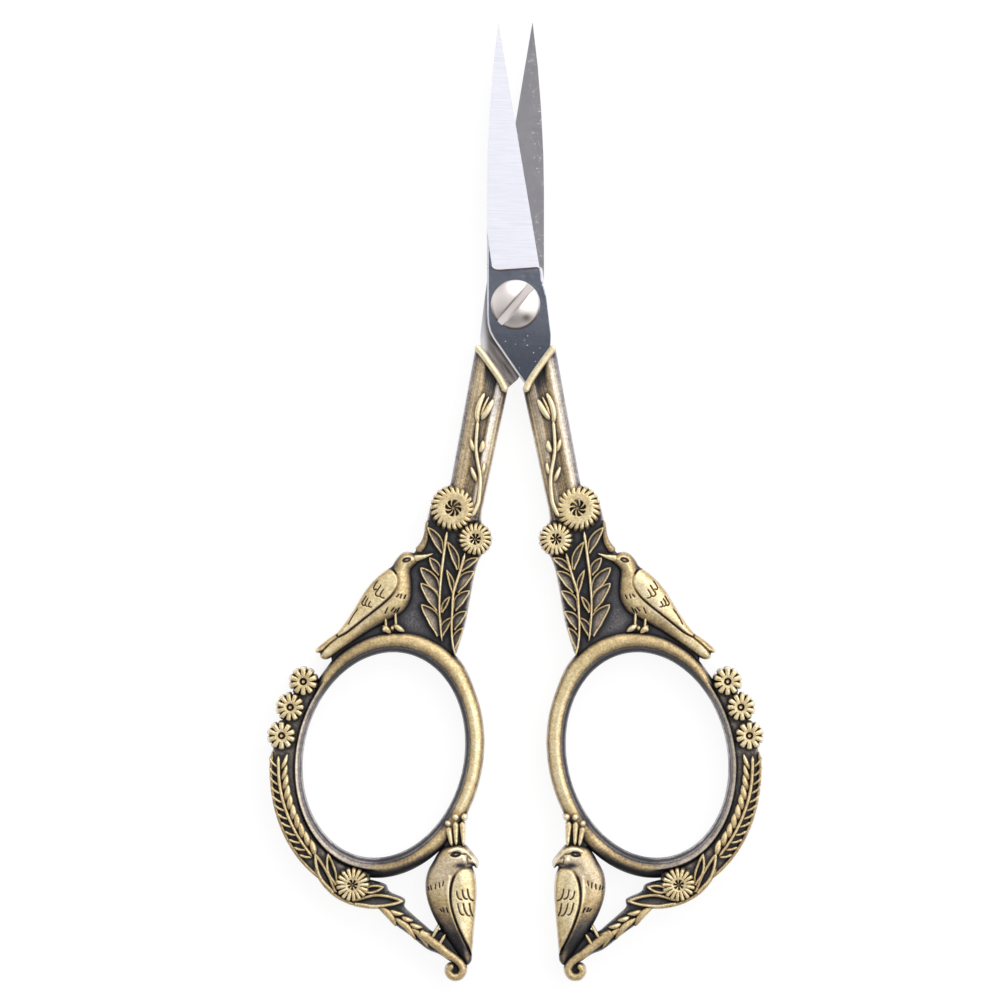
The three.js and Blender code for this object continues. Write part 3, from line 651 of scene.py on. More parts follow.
def slits(count, reach, swirl, depth=0.75):
    """Drop-shaped slits round the middle of a flower, swirled, with a small dimple between them."""
    def taken(share, angle):
        turn = count * (angle + swirl * share) / (2 * math.pi)
        off = 2 * np.abs(turn - np.floor(turn) - 0.5)
        slit = 1 - smooth(0.44, 0.7, off)
        band = plateau(0.06, 0.11, reach - 0.07, reach, share)
        return depth * slit * band + 0.28 * (1 - smooth(0.06, 0.13, share))
    return taken


def button(share, angle):
    """A small round button in a narrow ring-shaped groove."""
    return 0.6 * plateau(0.1, 0.14, 0.2, 0.26, share)


def posy(casting):
    """The large and the small flower at the foot of the shank."""
    casting.bloom((8.28, -27.08), LARGE_FLOWER_RADIUS, 22, FLOWER_HEIGHT, cut_from=0.66, cut_depth=0.75,
                  rim_cut=0.07, middle=slits(8, 0.37, -1.9), slant=0.35, gap=0.32)
    casting.bloom((5.38, -31.2), SMALL_FLOWER_RADIUS, 18, FLOWER_HEIGHT - 0.05, cut_from=0.52, cut_depth=0.7,
                  rim_cut=0.09, middle=slits(7, 0.34, 0.5), slant=-0.2)


def daisies(casting):
    """Three daisies in a row on the outside of the ring."""
    for degrees, petals in ((23.5, 10), (11.0, 11), (-1.7, 10)):
        casting.bloom(on_ring(degrees, 1.45), DAISY_RADIUS, petals, DAISY_HEIGHT, cut_from=0.42,
                      cut_depth=0.7, rim_cut=0.18, middle=button, gap=0.42)


def wheat_garland(casting):
    """A wheat sprig down the outside of the ring: ridges outside its stem, grains inside it, and a rim."""
    stem = [(31.55, -60.1), (31.51, -62.5), (31.3, -64.4), (30.92, -66.1), (30.28, -68.0), (29.32, -70.1),
            (28.28, -71.8), (27.1, -73.4)]
    casting.stem(stem, 0.48, 0.4, STEM_HEIGHT, stations=90)
    path = spline(stem, 200)
    last = len(path) - 1
    left = sideways(path)
    ahead = np.stack([left[:, 1], -left[:, 0]], axis=1)
    for share in np.linspace(0.1, 1.0, 12):
        at = int(share * last)
        root = path[at] + left[at] * 0.1 + ahead[at] * 0.1
        tip = root + left[at] * 1.14 - ahead[at] * 1.3
        middle = (root + tip) / 2 + left[at] * 0.1 + ahead[at] * 0.08
        casting.stem([root, middle, tip], 0.34, 0.4, LEAF_HEIGHT - 0.04, crown=0.26, stations=20)
    for share in np.linspace(0.1, 0.98, 10):
        at = int(share * last)
        root = path[at] - left[at] * 0.34 + ahead[at] * 0.4
        tip = path[at] - left[at] * 1.2 - ahead[at] * 1.65
        middle = (root + tip) / 2 - left[at] * 0.1
        width = 0.6 + 0.28 * float(smooth(0.1, 0.45, share))
        casting.petal([root, middle, tip], width, LEAF_HEIGHT + 0.14)
    rim = on_ring(np.linspace(-9, -74, 40), 2.38)
    casting.stem(rim[::3], 0.44, 0.48, 1.82, crown=0.26, stations=80, dull=0.16)


def base_flower(casting):
    """The many-petalled daisy under the ring, its four hollow leaves and the rounded lower rim."""
    casting.bloom((21.69, -77.2), BASE_DAISY_RADIUS, 17, DAISY_HEIGHT + 0.02, cut_from=0.4, cut_depth=0.75,
                  rim_cut=0.12, middle=slits(7, 0.3, 0.6, 0.6), gap=0.38)
    for root, tip, width, hollow, bend, rim in (
        ((24.1, -78.2), (26.72, -73.0), 1.5, 0.55, -0.04, 0.4),
        ((23.8, -77.2), (24.96, -73.05), 1.3, 0.55, -0.04, 0.36),
        ((20.4, -78.05), (17.5, -77.5), 1.2, 0.5, 0.0, 0.34),
        ((21.4, -79.5), (14.95, -79.4), 1.85, 0.55, -0.02, 0.38),
    ):
        casting.leaf(root, tip, width, LEAF_HEIGHT, hollow, bend, rim)
    lower_rim = [(26.75, -75.0), (26.1, -76.3), (25.2, -77.5), (24.2, -78.45), (23.1, -79.15), (21.5, -79.8),
                 (19.7, -80.15), (18.0, -80.2)]
    casting.stem(lower_rim, 0.55, 0.5, 1.78, crown=0.35, stations=60, dull=0.04)


def wheat_branch(casting):
    """The branch below: grains along it, a plain twig with the bird's legs on it, and a scroll at its end."""
    for root, tip in (
        ((16.75, -80.6), (14.85, -81.12)), ((15.2, -81.45), (13.55, -81.98)),
        ((14.1, -82.35), (12.35, -82.9)), ((12.75, -83.3), (11.15, -83.95)),
    ):
        casting.kernel(root, tip, 0.66, 2.0, bend=0.08)
    for root, tip, width in (
        ((18.2, -80.15), (15.9, -82.75), 1.0), ((16.25, -81.6), (13.25, -84.6), 0.85),
        ((14.1, -82.9), (11.6, -85.6), 0.8),
    ):
        casting.kernel(root, tip, width, 1.96, bend=-0.1, dull=0.06)
    twig = [(12.9, -83.5), (11.4, -84.55), (9.97, -85.62), (9.02, -86.42), (7.97, -87.1), (7.2, -87.9),
            (7.04, -88.7), (7.55, -89.4), (8.4, -89.42), (8.92, -88.8), (8.68, -88.22), (8.2, -88.3)]
    casting.stem(twig, 1.4, 1.06, 2.1, crown=0.65, stations=140, dull=0.13)
    for hip, foot in (((10.15, -82.6), (11.15, -84.35)), ((9.35, -83.8), (10.25, -85.35))):
        casting.stem([hip, foot], 0.4, 0.46, 2.0, stations=16)


def almond_eye(at, centre, degrees, size, cut, edge, ball, ball_share):
    """The cut of an almond-shaped eye, and the ball left standing in its middle."""
    look = turned(at - np.array(centre), math.radians(degrees)) / size
    share = np.hypot(look[:, 0], look[:, 1])
    return cut * (1 - smooth(edge, 1.1, share)) - ball * bell(share, ball_share)


def songbird(casting):
    """A perched songbird: a rounded body, a raised wing, cut feather marks, an almond eye and a slim beak."""
    front = [(12.78, -33.55), (13.2, -33.2), (14.3, -32.9), (15.15, -33.1), (15.95, -33.95), (16.4, -34.75)]
    back = [(16.95, -35.16), (17.73, -35.68), (18.76, -36.6), (19.53, -37.49), (20.18, -38.33),
            (21.28, -40.14), (22.12, -41.5), (23.03, -42.79), (23.8, -43.72)]
    tail = [(24.7, -44.32), (25.7, -45.1), (26.6, -45.95), (26.5, -46.35), (26.05, -46.4), (25.98, -46.95),
            (25.4, -47.25), (24.5, -46.95), (23.16, -46.0), (20.83, -44.5), (19.02, -43.34)]
    breast = [(17.25, -42.42), (16.2, -41.85), (15.3, -41.32), (14.52, -40.6), (13.88, -39.5), (13.68, -38.3),
              (13.7, -36.9), (13.82, -35.7), (13.58, -35.05), (13.05, -34.55), (12.72, -34.1)]
    outline = spline(front + back + tail + breast, 320, closed=True)
    wing_edge = [(16.44, -35.1), (15.92, -35.75), (15.61, -36.55), (15.7, -37.36), (16.11, -38.1),
                 (16.73, -38.9), (17.77, -39.85), (18.96, -40.8), (20.29, -41.85), (21.47, -42.8),
                 (22.51, -43.6), (23.6, -44.2)]
    wing_back = spline(back[::-1], 30) + (0.5, 0.4)
    wing = np.vstack([spline(wing_edge, 80), (24.0, -43.5), wing_back, (17.0, -34.9)])
    feathers = [spline(points, samples) for points, samples in (
        ([(18.41, -36.81), (18.66, -37.19), (18.88, -37.63), (18.81, -37.93), (18.5, -37.85)], 20),
        ([(17.92, -37.36), (18.24, -37.85), (18.51, -38.22), (18.64, -38.52), (18.44, -38.79),
          (18.1, -38.8)], 24),
        ([(17.59, -37.93), (17.9, -38.37), (18.02, -38.74), (17.84, -39.0), (17.5, -39.05)], 20),
        ([(19.89, -38.79), (20.19, -39.26), (20.44, -39.7), (20.32, -40.0), (20.0, -39.98)], 20),
        ([(19.67, -39.14), (19.94, -39.63), (19.97, -39.97), (19.75, -40.18)], 16),
        ([(19.33, -39.53), (19.57, -39.93), (19.5, -40.2), (19.18, -40.24)], 16),
        ([(21.03, -40.52), (21.7, -41.48), (22.21, -42.44)], 14),
        ([(16.95, -35.12), (16.35, -35.3), (15.9, -35.8)], 12),
    )]
    dashes = [
        [(15.55, -38.59), (15.84, -38.89)], [(15.18, -38.59), (15.33, -39.04)],
        [(14.63, -38.67), (14.81, -39.11)], [(17.03, -40.37), (17.36, -41.07)],
        [(16.14, -40.33), (16.51, -40.77)], [(15.87, -40.52), (16.14, -40.96)],
        [(15.47, -40.37), (15.77, -40.89)], [(22.18, -42.4), (22.24, -42.5)],
    ]
    tail_split = spline([(23.8, -44.4), (24.8, -45.2), (26.0, -46.4)], 16)

    def marks(at):
        eye = almond_eye(at, (14.5, -33.98), degrees=14, size=(0.62, 0.34), cut=1.1, edge=0.8, ball=0.8,
                         ball_share=0.38)
        return np.maximum(eye, np.maximum(lines_cut(at, feathers, 0.075), lines_cut(at, dashes, 0.085)))

    # The dark line along the wing's lower edge: patina in the groove, and painted shade under the raised
    # wing.
    def gully(at):
        strength = 0.3 + 0.7 * smooth(-37.2, -39.5, at[:, 1])
        return strength * bell(depth_inside(at, wing) + 0.06, 0.1)

    def height(at, depth):
        rounding = 1.9 - 1.1 * smooth(19.5, 22.5, at[:, 0])
        body = pillow(depth, SONGBIRD_RIM_HEIGHT, SONGBIRD_HEIGHT - 0.14, rounding)
        inside = depth_inside(at, wing)
        raised = 0.2 * smooth(0.0, 0.24, inside) + 0.06 * pillow(np.maximum(inside, 0), 0, 1, 1.2)
        cuts = 0.2 * marks(at) + 0.3 * gully(at) * (depth > 0.2) + 0.4 * lines_cut(at, [tail_split], 0.13)
        return np.maximum(body + raised - cuts, SONGBIRD_RIM_HEIGHT)

    def dull(at):
        off_wing = 1 - smooth(-0.15, 0.1, depth_inside(at, wing))
        inward = depth_inside(at, outline)
        # Painted shade: off the wing, the body is painted darker towards its outline below the head.
        painted_turning_shade = 0.24 * smooth(1.5, 0.2, inward) * smooth(-33.6, -35.2, at[:, 1]) + 0.07
        painted_turning_shade = painted_turning_shade * (1 - 0.8 * smooth(21.0, 24.5, at[:, 0]))
        return 0.5 * marks(at) + 0.26 * gully(at) + off_wing * painted_turning_shade - 0.1

    def pale(at):
        # Painted highlight: a pale band on the body just below the wing's lower edge.
        beside = bell(depth_inside(at, wing) + 0.34, 0.16)
        return 0.35 * beside * smooth(-38.5, -40.0, at[:, 1]) - 0.6 * smooth(21.0, 23.5, at[:, 0])

    casting.relief(outline, height, BIRD_PITCH, dull=dull, pale=pale)
    beak = [(13.5, -33.8), (12.6, -33.62), (11.9, -33.45), (10.95, -33.12)]
    casting.stem(beak, 1.0, 0.14, 2.02, stations=36)
    for leg in (
        [(17.3, -41.7), (17.25, -42.4), (17.2, -43.0)],
        [(15.98, -41.0), (15.95, -41.9), (15.9, -42.8)],
    ):
        casting.stem(leg, 0.36, 0.38, 1.95, stations=20)
    for heel, toe, width in (
        ((17.66, -42.7), (16.58, -43.75), 0.78), ((17.55, -42.9), (17.4, -43.6), 0.56),
        ((16.25, -42.6), (14.78, -43.52), 0.74), ((16.38, -42.7), (16.38, -43.4), 0.5),
    ):
        casting.kernel(heel, toe, width, 2.1)


def crest_bird(casting):
    """A standing bird with a crest of three pins: hooked beak, folded wing, cut feather and breast marks."""
    head = [(9.69, -72.3), (8.5, -71.85), (7.5, -71.72), (6.64, -72.0), (6.12, -72.57), (5.5, -73.33),
            (5.02, -74.0), (4.9, -74.57), (5.15, -75.05), (5.55, -74.75), (5.72, -75.0)]
    wing_side = [(5.4, -75.9), (5.2, -77.24), (5.19, -79.14), (5.32, -81.05), (5.5, -83.14), (5.67, -85.05),
                 (5.78, -86.4)]
    tail = [(5.88, -87.4), (6.5, -87.95), (7.3, -87.15), (8.26, -85.65), (9.4, -84.1)]
    breast = [(10.3, -82.6), (11.08, -81.1), (11.68, -79.5), (11.97, -78.0), (11.95, -76.5), (11.6, -75.3),
              (11.0, -74.25), (10.35, -73.1)]
    outline = spline((head + wing_side + tail + breast)[::-1], 320, closed=True)
    wing_edge = [(5.9, -74.95), (7.15, -75.1), (7.95, -75.85), (8.42, -77.05), (8.6, -78.5), (8.5, -79.9),
                 (8.12, -81.3), (7.55, -82.85), (6.88, -84.3), (6.3, -85.45), (5.9, -86.4)]
    wing = np.vstack([spline(wing_edge, 80), (5.0, -86.6), (4.7, -80.0), (4.8, -75.2)])
    ridge_line = [(8.85, -76.2), (9.0, -77.6), (8.88, -79.1), (8.38, -81.4), (7.58, -83.3), (6.5, -85.4)]
    ridge = [spline(ridge_line, 50)]
    feathers = [spline(points, samples) for points, samples in (
        ([(7.84, -78.1), (7.72, -78.7), (7.5, -79.05), (7.2, -79.16)], 12),
        ([(7.1, -77.9), (6.98, -78.6), (6.75, -79.0), (6.42, -79.1)], 12),
        ([(6.4, -77.8), (6.26, -78.6), (6.0, -79.1), (5.6, -79.32)], 12),
        ([(7.7, -79.7), (7.52, -80.5), (7.25, -81.1), (6.95, -81.2)], 12),
        ([(6.96, -79.7), (6.74, -80.6), (6.4, -81.2), (6.1, -81.33)], 12),
        ([(6.12, -79.7), (5.98, -80.6), (5.72, -81.35)], 10),
    )]
    dashes = [
        [(11.65, -77.5), (11.55, -77.85)], [(11.3, -77.35), (11.2, -77.85)],
        [(10.65, -77.15), (10.7, -77.75)], [(10.15, -76.95), (10.1, -77.6)], [(9.6, -76.75), (9.7, -77.3)],
        [(10.05, -80.45), (9.8, -80.75)], [(9.7, -80.3), (9.5, -80.8)], [(9.2, -80.3), (9.0, -80.85)],
    ]
    brow = [spline([(8.75, -72.72), (8.3, -72.45), (7.64, -72.36), (7.0, -72.53), (6.4, -72.82)], 16)]
    lid_line = [(8.85, -72.98), (8.3, -72.86), (7.65, -72.82), (7.25, -73.05), (6.85, -73.14), (6.5, -73.1)]
    lid = [spline(lid_line, 20)]
    under_eye = [spline([(8.45, -73.5), (7.9, -73.66), (7.35, -73.55), (6.98, -73.3)], 12)]
    beak_ridge = [spline([(6.2, -73.15), (5.68, -73.55), (5.27, -74.06), (5.12, -74.6)], 12)]
    beak_lines = [spline(points, samples) for points, samples in (
        ([(6.4, -73.3), (6.2, -73.5), (5.95, -73.78)], 10),
        ([(6.42, -73.6), (6.4, -73.95), (6.3, -74.4)], 10),
        ([(6.35, -74.48), (5.88, -74.42), (5.48, -74.66)], 12),
    )]

    def marks(at):
        eye = almond_eye(at, (7.97, -73.16), degrees=8, size=(0.76, 0.36), cut=1.2, edge=0.75, ball=1.0,
                         ball_share=0.36)
        cuts = np.maximum(lines_cut(at, feathers, 0.085), 0.8 * lines_cut(at, dashes, 0.085))
        face = np.maximum(0.55 * lines_cut(at, beak_lines, 0.11), 0.65 * lines_cut(at, lid, 0.08))
        return np.maximum(np.maximum(eye, cuts), face)

    def gully(at):
        strength = 0.35 + 0.65 * smooth(-75.4, -76.6, at[:, 1])
        return strength * bell(depth_inside(at, wing) + 0.08, 0.13)

    def off_wing(at):
        return 1 - smooth(-0.2, 0.1, depth_inside(at, wing))

    def cheek(at):
        return spot(at, (6.85, -73.85), (0.26, 0.42))

    def height(at, depth):
        body = pillow(depth, CREST_BIRD_RIM_HEIGHT, CREST_BIRD_HEIGHT - 0.24, 2.2)
        inside = depth_inside(at, wing)
        raised = 0.16 * smooth(0.0, 0.26, inside) + 0.08 * pillow(np.maximum(inside, 0), 0, 1, 1.3)
        lift = 0.18 * lines_cut(at, brow, 0.3) + 0.12 * cheek(at) + 0.1 * lines_cut(at, ridge, 0.22)
        lift = lift + 0.1 * lines_cut(at, beak_ridge, 0.2) - 0.16 * spot(at, (7.35, -74.7), (0.6, 0.28))
        cuts = 0.22 * marks(at) + 0.34 * gully(at) * (depth > 0.12)
        return np.clip(body + raised + lift - cuts, CREST_BIRD_RIM_HEIGHT, CREST_BIRD_HEIGHT)

    def dull(at):
        lower = smooth(-77.5, -84.8, at[:, 1])
        # Painted light: the brow, beak ridge, cheek and a line under the eye are painted brighter, and the
        # chin is in painted shade.
        face = 0.4 * lines_cut(at, brow, 0.27) + 0.4 * lines_cut(at, beak_ridge, 0.24) + 0.3 * cheek(at)
        face = face + 0.24 * lines_cut(at, under_eye, 0.12) - 0.6 * spot(at, (7.35, -74.66), (0.8, 0.34))
        end = 0.4 * smooth(-85.2, -86.6, at[:, 1]) * smooth(7.1, 6.3, at[:, 0])
        glint = 0.3 * smooth(-75.9, -77.6, at[:, 1]) * lines_cut(at, ridge, 0.2)
        # Painted shade: off the wing, the body is painted darker towards the bottom, away from the light.
        worn = off_wing(at) * (0.14 + 0.52 * lower) + 0.12 * smooth(-81.5, -86.0, at[:, 1]) - 0.12
        return worn + 0.5 * marks(at) + 0.3 * gully(at) - face - end - glint

    def pale(at):
        return 0.3 * off_wing(at) * smooth(-80.0, -75.5, at[:, 1]) * smooth(-72.8, -74.0, at[:, 1])

    casting.relief(outline, height, BIRD_PITCH, dull=dull, pale=pale)
    for base, neck, tip, size in (
        ((8.48, -72.0), (8.97, -69.5), (8.95, -69.04), 0.45),
        ((7.9, -71.9), (8.0, -68.8), (7.97, -68.2), 0.52),
        ((6.9, -72.0), (7.1, -68.8), (6.8, -68.18), 0.52),
    ):
        casting.stem([base, neck], 0.42, 0.9, 2.16, stations=24, dull=-0.06)
        casting.relief(disc(tip, size), lambda at, depth, size=size: pillow(depth, 1.7, 2.42, size),
                       PIN_PITCH, dull=lambda at: np.full(len(at), -0.12))


# Patina and painted light: how much each point of a handle is rubbed bright, and the light painted on it

def blurred(field, spread):
    """A field averaged with a bell of the given spread, in cells."""
    for axis in (0, 1):
        total = np.zeros_like(field)
        weight = 0.0
        for shift in range(-int(2.5 * spread), int(2.5 * spread) + 1):
            share = math.exp(-0.5 * (shift / spread) ** 2)
            total += share * np.roll(field, shift, axis=axis)
            weight += share
        field = total / weight
    return field


def steepness(casting):
    """How far each point of a casting faces up or down, from 0 to 1: the mean of its faces' normals."""
    normal = np.zeros_like(casting.points)
    for face in casting.faces:
        corner = casting.points[face]
        cross = np.cross(corner[:, 2] - corner[:, 0], corner[:, -1] - corner[:, 1])
        for column in range(face.shape[1]):
            np.add.at(normal, face[:, column], cross)
    return np.abs(normal[:, 2]) / np.maximum(np.linalg.norm(normal, axis=1), 1e-12)


def rubbed(castings):
    """For each casting, how far its points are rubbed bright, and how far they are pale, with painted light
    added.

    High and proud points are rubbed. Low ones, steep ones and those in narrow gaps aren't, and the waist,
    half way down the sides, stays brown. Near the open outer edges the sides are painted brighter and paler:
    a painted reflection of the bright surroundings.
    """
    margin = 40
    every = np.vstack([casting.points for casting in castings])
    low = every[:, :2].min(0) - margin * WEAR_PITCH
    size = np.ceil((every[:, :2].max(0) - low) / WEAR_PITCH).astype(int) + margin
    top = np.zeros(size)
    cell = np.round((every[:, :2] - low) / WEAR_PITCH).astype(int)
    np.maximum.at(top, (cell[:, 0], cell[:, 1]), every[:, 2])
    for axis in (0, 1):
        top = np.maximum(top, np.maximum(np.roll(top, 1, axis=axis), np.roll(top, -1, axis=axis)))
    cover = (top > 0).astype(float)
    close_spread, near_spread, open_spread = 1.6, 5.0, 3.2
    close, near = (blurred(top, spread) / np.maximum(blurred(cover, spread), 1e-3)
                   for spread in (close_spread, near_spread))
    open_share = 1 - blurred(cover, open_spread)
    result = []
    for casting in castings:
        height = np.abs(casting.points[:, 2])
        i, j = np.round((casting.points[:, :2] - low) / WEAR_PITCH).astype(int).T
        level = smooth(0.9, 1.95, height)
        steep = 1 - smooth(0.35, 0.85, steepness(casting))
        edge = smooth(0.05, 0.26, open_share[i, j])
        gap = np.clip(0.6 * (height - close[i, j]), -0.28, 0.12) * (1 - edge)
        proud = np.clip(0.4 * (height - near[i, j]), -0.14, 0.14) * (1 - edge)
        # Painted reflection: near the open outer edges, low and steep points are painted brighter and paler.
        worn = 0.33 + 0.47 * level + gap + proud - 0.16 * steep * (1 - edge) + 0.1 * edge * (1 - level)
        worn = worn + 0.26 * edge * steep * smooth(0.25, 0.8, height)
        painted_rim_reflection = 0.7 * edge * steep * smooth(0.4, 1.2, height)
        waist = 1 - smooth(0.0, 0.25, height)
        pale = np.clip(casting.pale + painted_rim_reflection, 0, 1) * (1 - 0.75 * waist)
        result.append({"rub": worn - casting.dull - 0.12 * waist, "pale": pale})
    return result


# Blade and screw

def blade(casting, lower_end):
    """One blade: sections across it from the collar to the heel, a step, and ground ones on to the point.

    The outer face has a narrow chamfer down its spine and one that widens up its edge to the heel; both
    carry a painted highlight.
    `lower_end` starts the spine's outline, from the collar up. Gives the marks of the steel at each point.
    """
    low = SHEAR_GAP / 2
    high = low + BLADE_THICKNESS
    bottom, top = lower_end[0][1] + 0.03, BLADE_REACH
    spine = np.array([*lower_end, (-2.95, -4.55), (-3.45, -3.6), (-3.7, -2.6), (-3.78, -1.2), (-3.8, 2.0),
                      (-3.8, 15.0), (-3.72, 20.0), (-3.42, 26.2), (-2.95, 32.0), (-POINT_OFFSET, top)])
    edge = np.array([(lower_end[0][0] + 0.04, bottom), (4.5, -6.35), (4.66, -5.2), (4.7, -4.0), (4.13, 0.7),
                     (3.62, 4.4), (3.5, 4.85), (HEEL_OFFSET, HEEL_HEIGHT), (-POINT_OFFSET + 0.06, top)])
    near_spine = np.array([0.0, 0.06, 0.12, 0.18, 0.23, 0.28, 0.33, 0.39, 0.47])
    near_edge = np.array([0.6, 0.44, 0.42, 0.3, 0.22, 0.14, 0.07, 0.0])
    columns = np.concatenate([near_spine / 8, np.linspace(0.07, 0.9, 52), 1 - near_edge / 8])
    corner = np.clip((0.24 - columns) / 0.14, 0, 1)
    heel = HEEL_SPINE_HEIGHT + (HEEL_HEIGHT - HEEL_SPINE_HEIGHT) * columns
    heel = heel + 0.5 * (1 - np.sqrt(1 - corner**2))
    below = np.concatenate([np.linspace(0, 0.97, 120), [0.98, 0.988, 0.994, 1.0]])[:, None]
    above = np.linspace(0, 1, 140)[:, None]
    y = np.vstack([bottom + (heel - bottom) * below, heel + (top - heel) * above])
    left = np.interp(y, spine[:, 1], spine[:, 0])
    right = np.interp(y, edge[:, 1], edge[:, 0])
    x = left + (right - left) * columns
    at = np.stack([x.ravel(), y.ravel()], axis=1)
    from_spine = nearest(at, spine)[0].reshape(y.shape)
    lean = math.atan2(HEEL_OFFSET + POINT_OFFSET, BLADE_REACH - HEEL_HEIGHT)
    from_edge = (np.interp(y, edge[-2:, 1], edge[-2:, 0]) - x) * math.cos(lean)
    slope = (BLADE_THICKNESS - EDGE_THICKNESS) / (BEVEL_WIDTH * math.cos(lean))
    ground_face = low + EDGE_THICKNESS + slope * from_edge
    ground = np.zeros(y.shape, bool)
    ground[len(below):] = ground_face[len(below):] < high
    spine_side = np.maximum(SPINE_CHAMFER - from_spine, 0)
    facet = 0.06 + 0.32 * smooth(0.8, 4.2, y)
    edge_side = np.maximum(facet - (right - x), 0)
    flat_face = np.maximum(high - 0.7 * spine_side - 0.8 * edge_side, low + 0.06)
    face = np.where(ground, ground_face, flat_face)
    upper = np.stack([x, y, face], axis=-1)
    lower = np.stack([x, y, np.full(y.shape, low)], axis=-1)
    casting.loops(np.concatenate([upper, lower[:, ::-1]], axis=1)[::-1])
    plain = np.zeros(y.shape)
    stain = plain.copy()
    stain[len(below) - 3:len(below)] = np.clip((1 - columns) / 0.05, 0, 1) * np.clip(columns / 0.2, 0, 1)
    # Painted highlight: the chamfers of the outer face are painted near white.
    spine_highlight = smooth(0.26, 0.2, from_spine) * (0.5 + 0.5 * smooth(-1.5, -3.4, y))
    edge_highlight = smooth(0.9, 0.5, (right - x) / facet) * smooth(0.6, 2.6, y)
    chamfer_highlight = np.where(ground, 0.0, np.maximum(spine_highlight, edge_highlight))
    shoulder = smooth(3.5, 4.3, x) * plateau(-9.0, -5.5, 2.5, 4.5, y)
    old = (1 - smooth(-4.5, 1.5, y)) * (1 - 0.85 * shoulder)
    outer_dust = 0.25 + 0.75 * smooth(3.0, -4.0, y)
    inner_dust = smooth(2.0, 0.6, from_spine)

    def marked(upper_marks, lower_marks):
        whole = np.concatenate([upper_marks, lower_marks[:, ::-1]], axis=1)[::-1].astype(float).ravel()
        return np.append(whole, [whole[0], whole[-1]])

    return {
        "ground": marked(ground, plain),
        "lapped": marked(plain, np.ones(y.shape)),
        "stain": marked(stain, plain),
        # Darker towards the handle: the outer face's flats, and brown streaks on the inner face.
        "tarnish": marked(0.9 * smooth(0.5, -8.0, y), old),
        # Painted highlight on the outer face's chamfers, and a paler shoulder on the inner face.
        "bright": marked(chamfer_highlight, 0.75 * shoulder),
        "dusty": marked(outer_dust, inner_dust),
    }


def pivot_screw(casting):
    """A slotted screw: two halves of a domed head beside the slot, its floor, the shoulder and the thread.

    Painted shade lies along the slot's edges and round the lower rim, with a painted dark reflection on the
    head. The thread's end stands just proud of the rear blade.
    """
    outer_face = SHEAR_GAP / 2 + BLADE_THICKNESS
    seat = outer_face + SCREW_HEAD_CLEARANCE
    crown = seat + SCREW_RIM_HEIGHT + SCREW_DOME_HEIGHT
    dome_radius = (SCREW_HEAD_RADIUS**2 + SCREW_DOME_HEIGHT**2) / (2 * SCREW_DOME_HEIGHT)
    reach = math.acos(SCREW_SLOT_WIDTH / 2 / SCREW_HEAD_RADIUS)

    def domed(at, depth):
        radius = np.hypot(at[:, 0], at[:, 1])
        height = crown - dome_radius + np.sqrt(dome_radius**2 - radius**2)
        return height - 0.12 * (1 - smooth(0, 0.16, depth)) ** 2

    def floor(at, depth):
        return np.full(len(at), crown - SCREW_SLOT_DEPTH)

    def screw_shade_and_reflection_paint(at):
        aside = at @ turned([1, 0], SCREW_SLOT_ANGLE - math.pi / 2)
        along = at @ turned([1, 0], SCREW_SLOT_ANGLE)
        upper = bell(aside + SCREW_SLOT_WIDTH / 2, 0.22) * (1 - (along / SCREW_HEAD_RADIUS) ** 2)
        lower = bell(aside - SCREW_SLOT_WIDTH / 2, 0.1)
        from_rim = SCREW_HEAD_RADIUS - np.hypot(at[:, 0], at[:, 1])
        rim = smooth(0.36, 0.1, from_rim) * smooth(1.0, -1.5, at[:, 1])
        # Painted shade along the slot's edges and round the lower rim, and a painted reflection: the dark
        # spot.
        return 0.9 * upper + 0.3 * lower + 0.9 * rim + 0.85 * spot(at, (1.45, -1.75), (0.7, 0.54))

    arc = np.linspace(-reach, reach, 120)
    half = SCREW_HEAD_RADIUS * circle(arc)
    for side in (0, math.pi):
        outline = turned(half, SCREW_SLOT_ANGLE - math.pi / 2 + side)
        casting.relief(outline, domed, SCREW_PITCH, lower=seat, dull=screw_shade_and_reflection_paint)
    end = math.pi / 2 - reach
    bow = np.linspace(-end, end, 12)
    cap = (SCREW_HEAD_RADIUS - 0.02) * circle(bow)
    strip = np.vstack([cap, -cap])
    casting.relief(turned(strip, SCREW_SLOT_ANGLE), floor, SLOT_PITCH, lower=seat)
    step = -SHEAR_GAP / 2 + SCREW_HEAD_CLEARANCE
    profile = [
        (SCREW_SHOULDER_RADIUS, seat + 0.1),
        (SCREW_SHOULDER_RADIUS, step),
        (SCREW_THREAD_RADIUS, step),
        (SCREW_THREAD_RADIUS, -outer_face - 0.02),
        (SCREW_THREAD_RADIUS - SCREW_END_CHAMFER, -outer_face - SCREW_END_STAND),
    ]
    facets = 64
    rings = [np.column_stack([disc((0, 0), radius, facets), np.full(facets, z)]) for radius, z in profile]
    casting.loops(np.array(rings))


# Materials

class Socket:
    """A node socket that can be used in arithmetic."""

    def __init__(self, shader, socket):
        self.shader = shader
        self.socket = socket

    def math(self, operation, *values):
        return self.shader.node("ShaderNodeMath", {"operation": operation}, dict(enumerate(values)))

    def __add__(self, other):
        return self.math("ADD", self, other)

    def __radd__(self, other):
        return self.math("ADD", other, self)

    def __sub__(self, other):
        return self.math("SUBTRACT", self, other)

    def __rsub__(self, other):
        return self.math("SUBTRACT", other, self)

    def __mul__(self, other):
        return self.math("MULTIPLY", self, other)

    def __rmul__(self, other):
        return self.math("MULTIPLY", other, self)

    def __abs__(self):
        return self.math("ABSOLUTE", self)

    def clamped(self):
        return self.shader.node("ShaderNodeClamp", {}, {"Value": self})

    def between(self, low, high):
        settings = {"interpolation_type": "SMOOTHSTEP"}
        values = {"Value": self, "From Min": low, "From Max": high}
        return self.shader.node("ShaderNodeMapRange", settings, values)


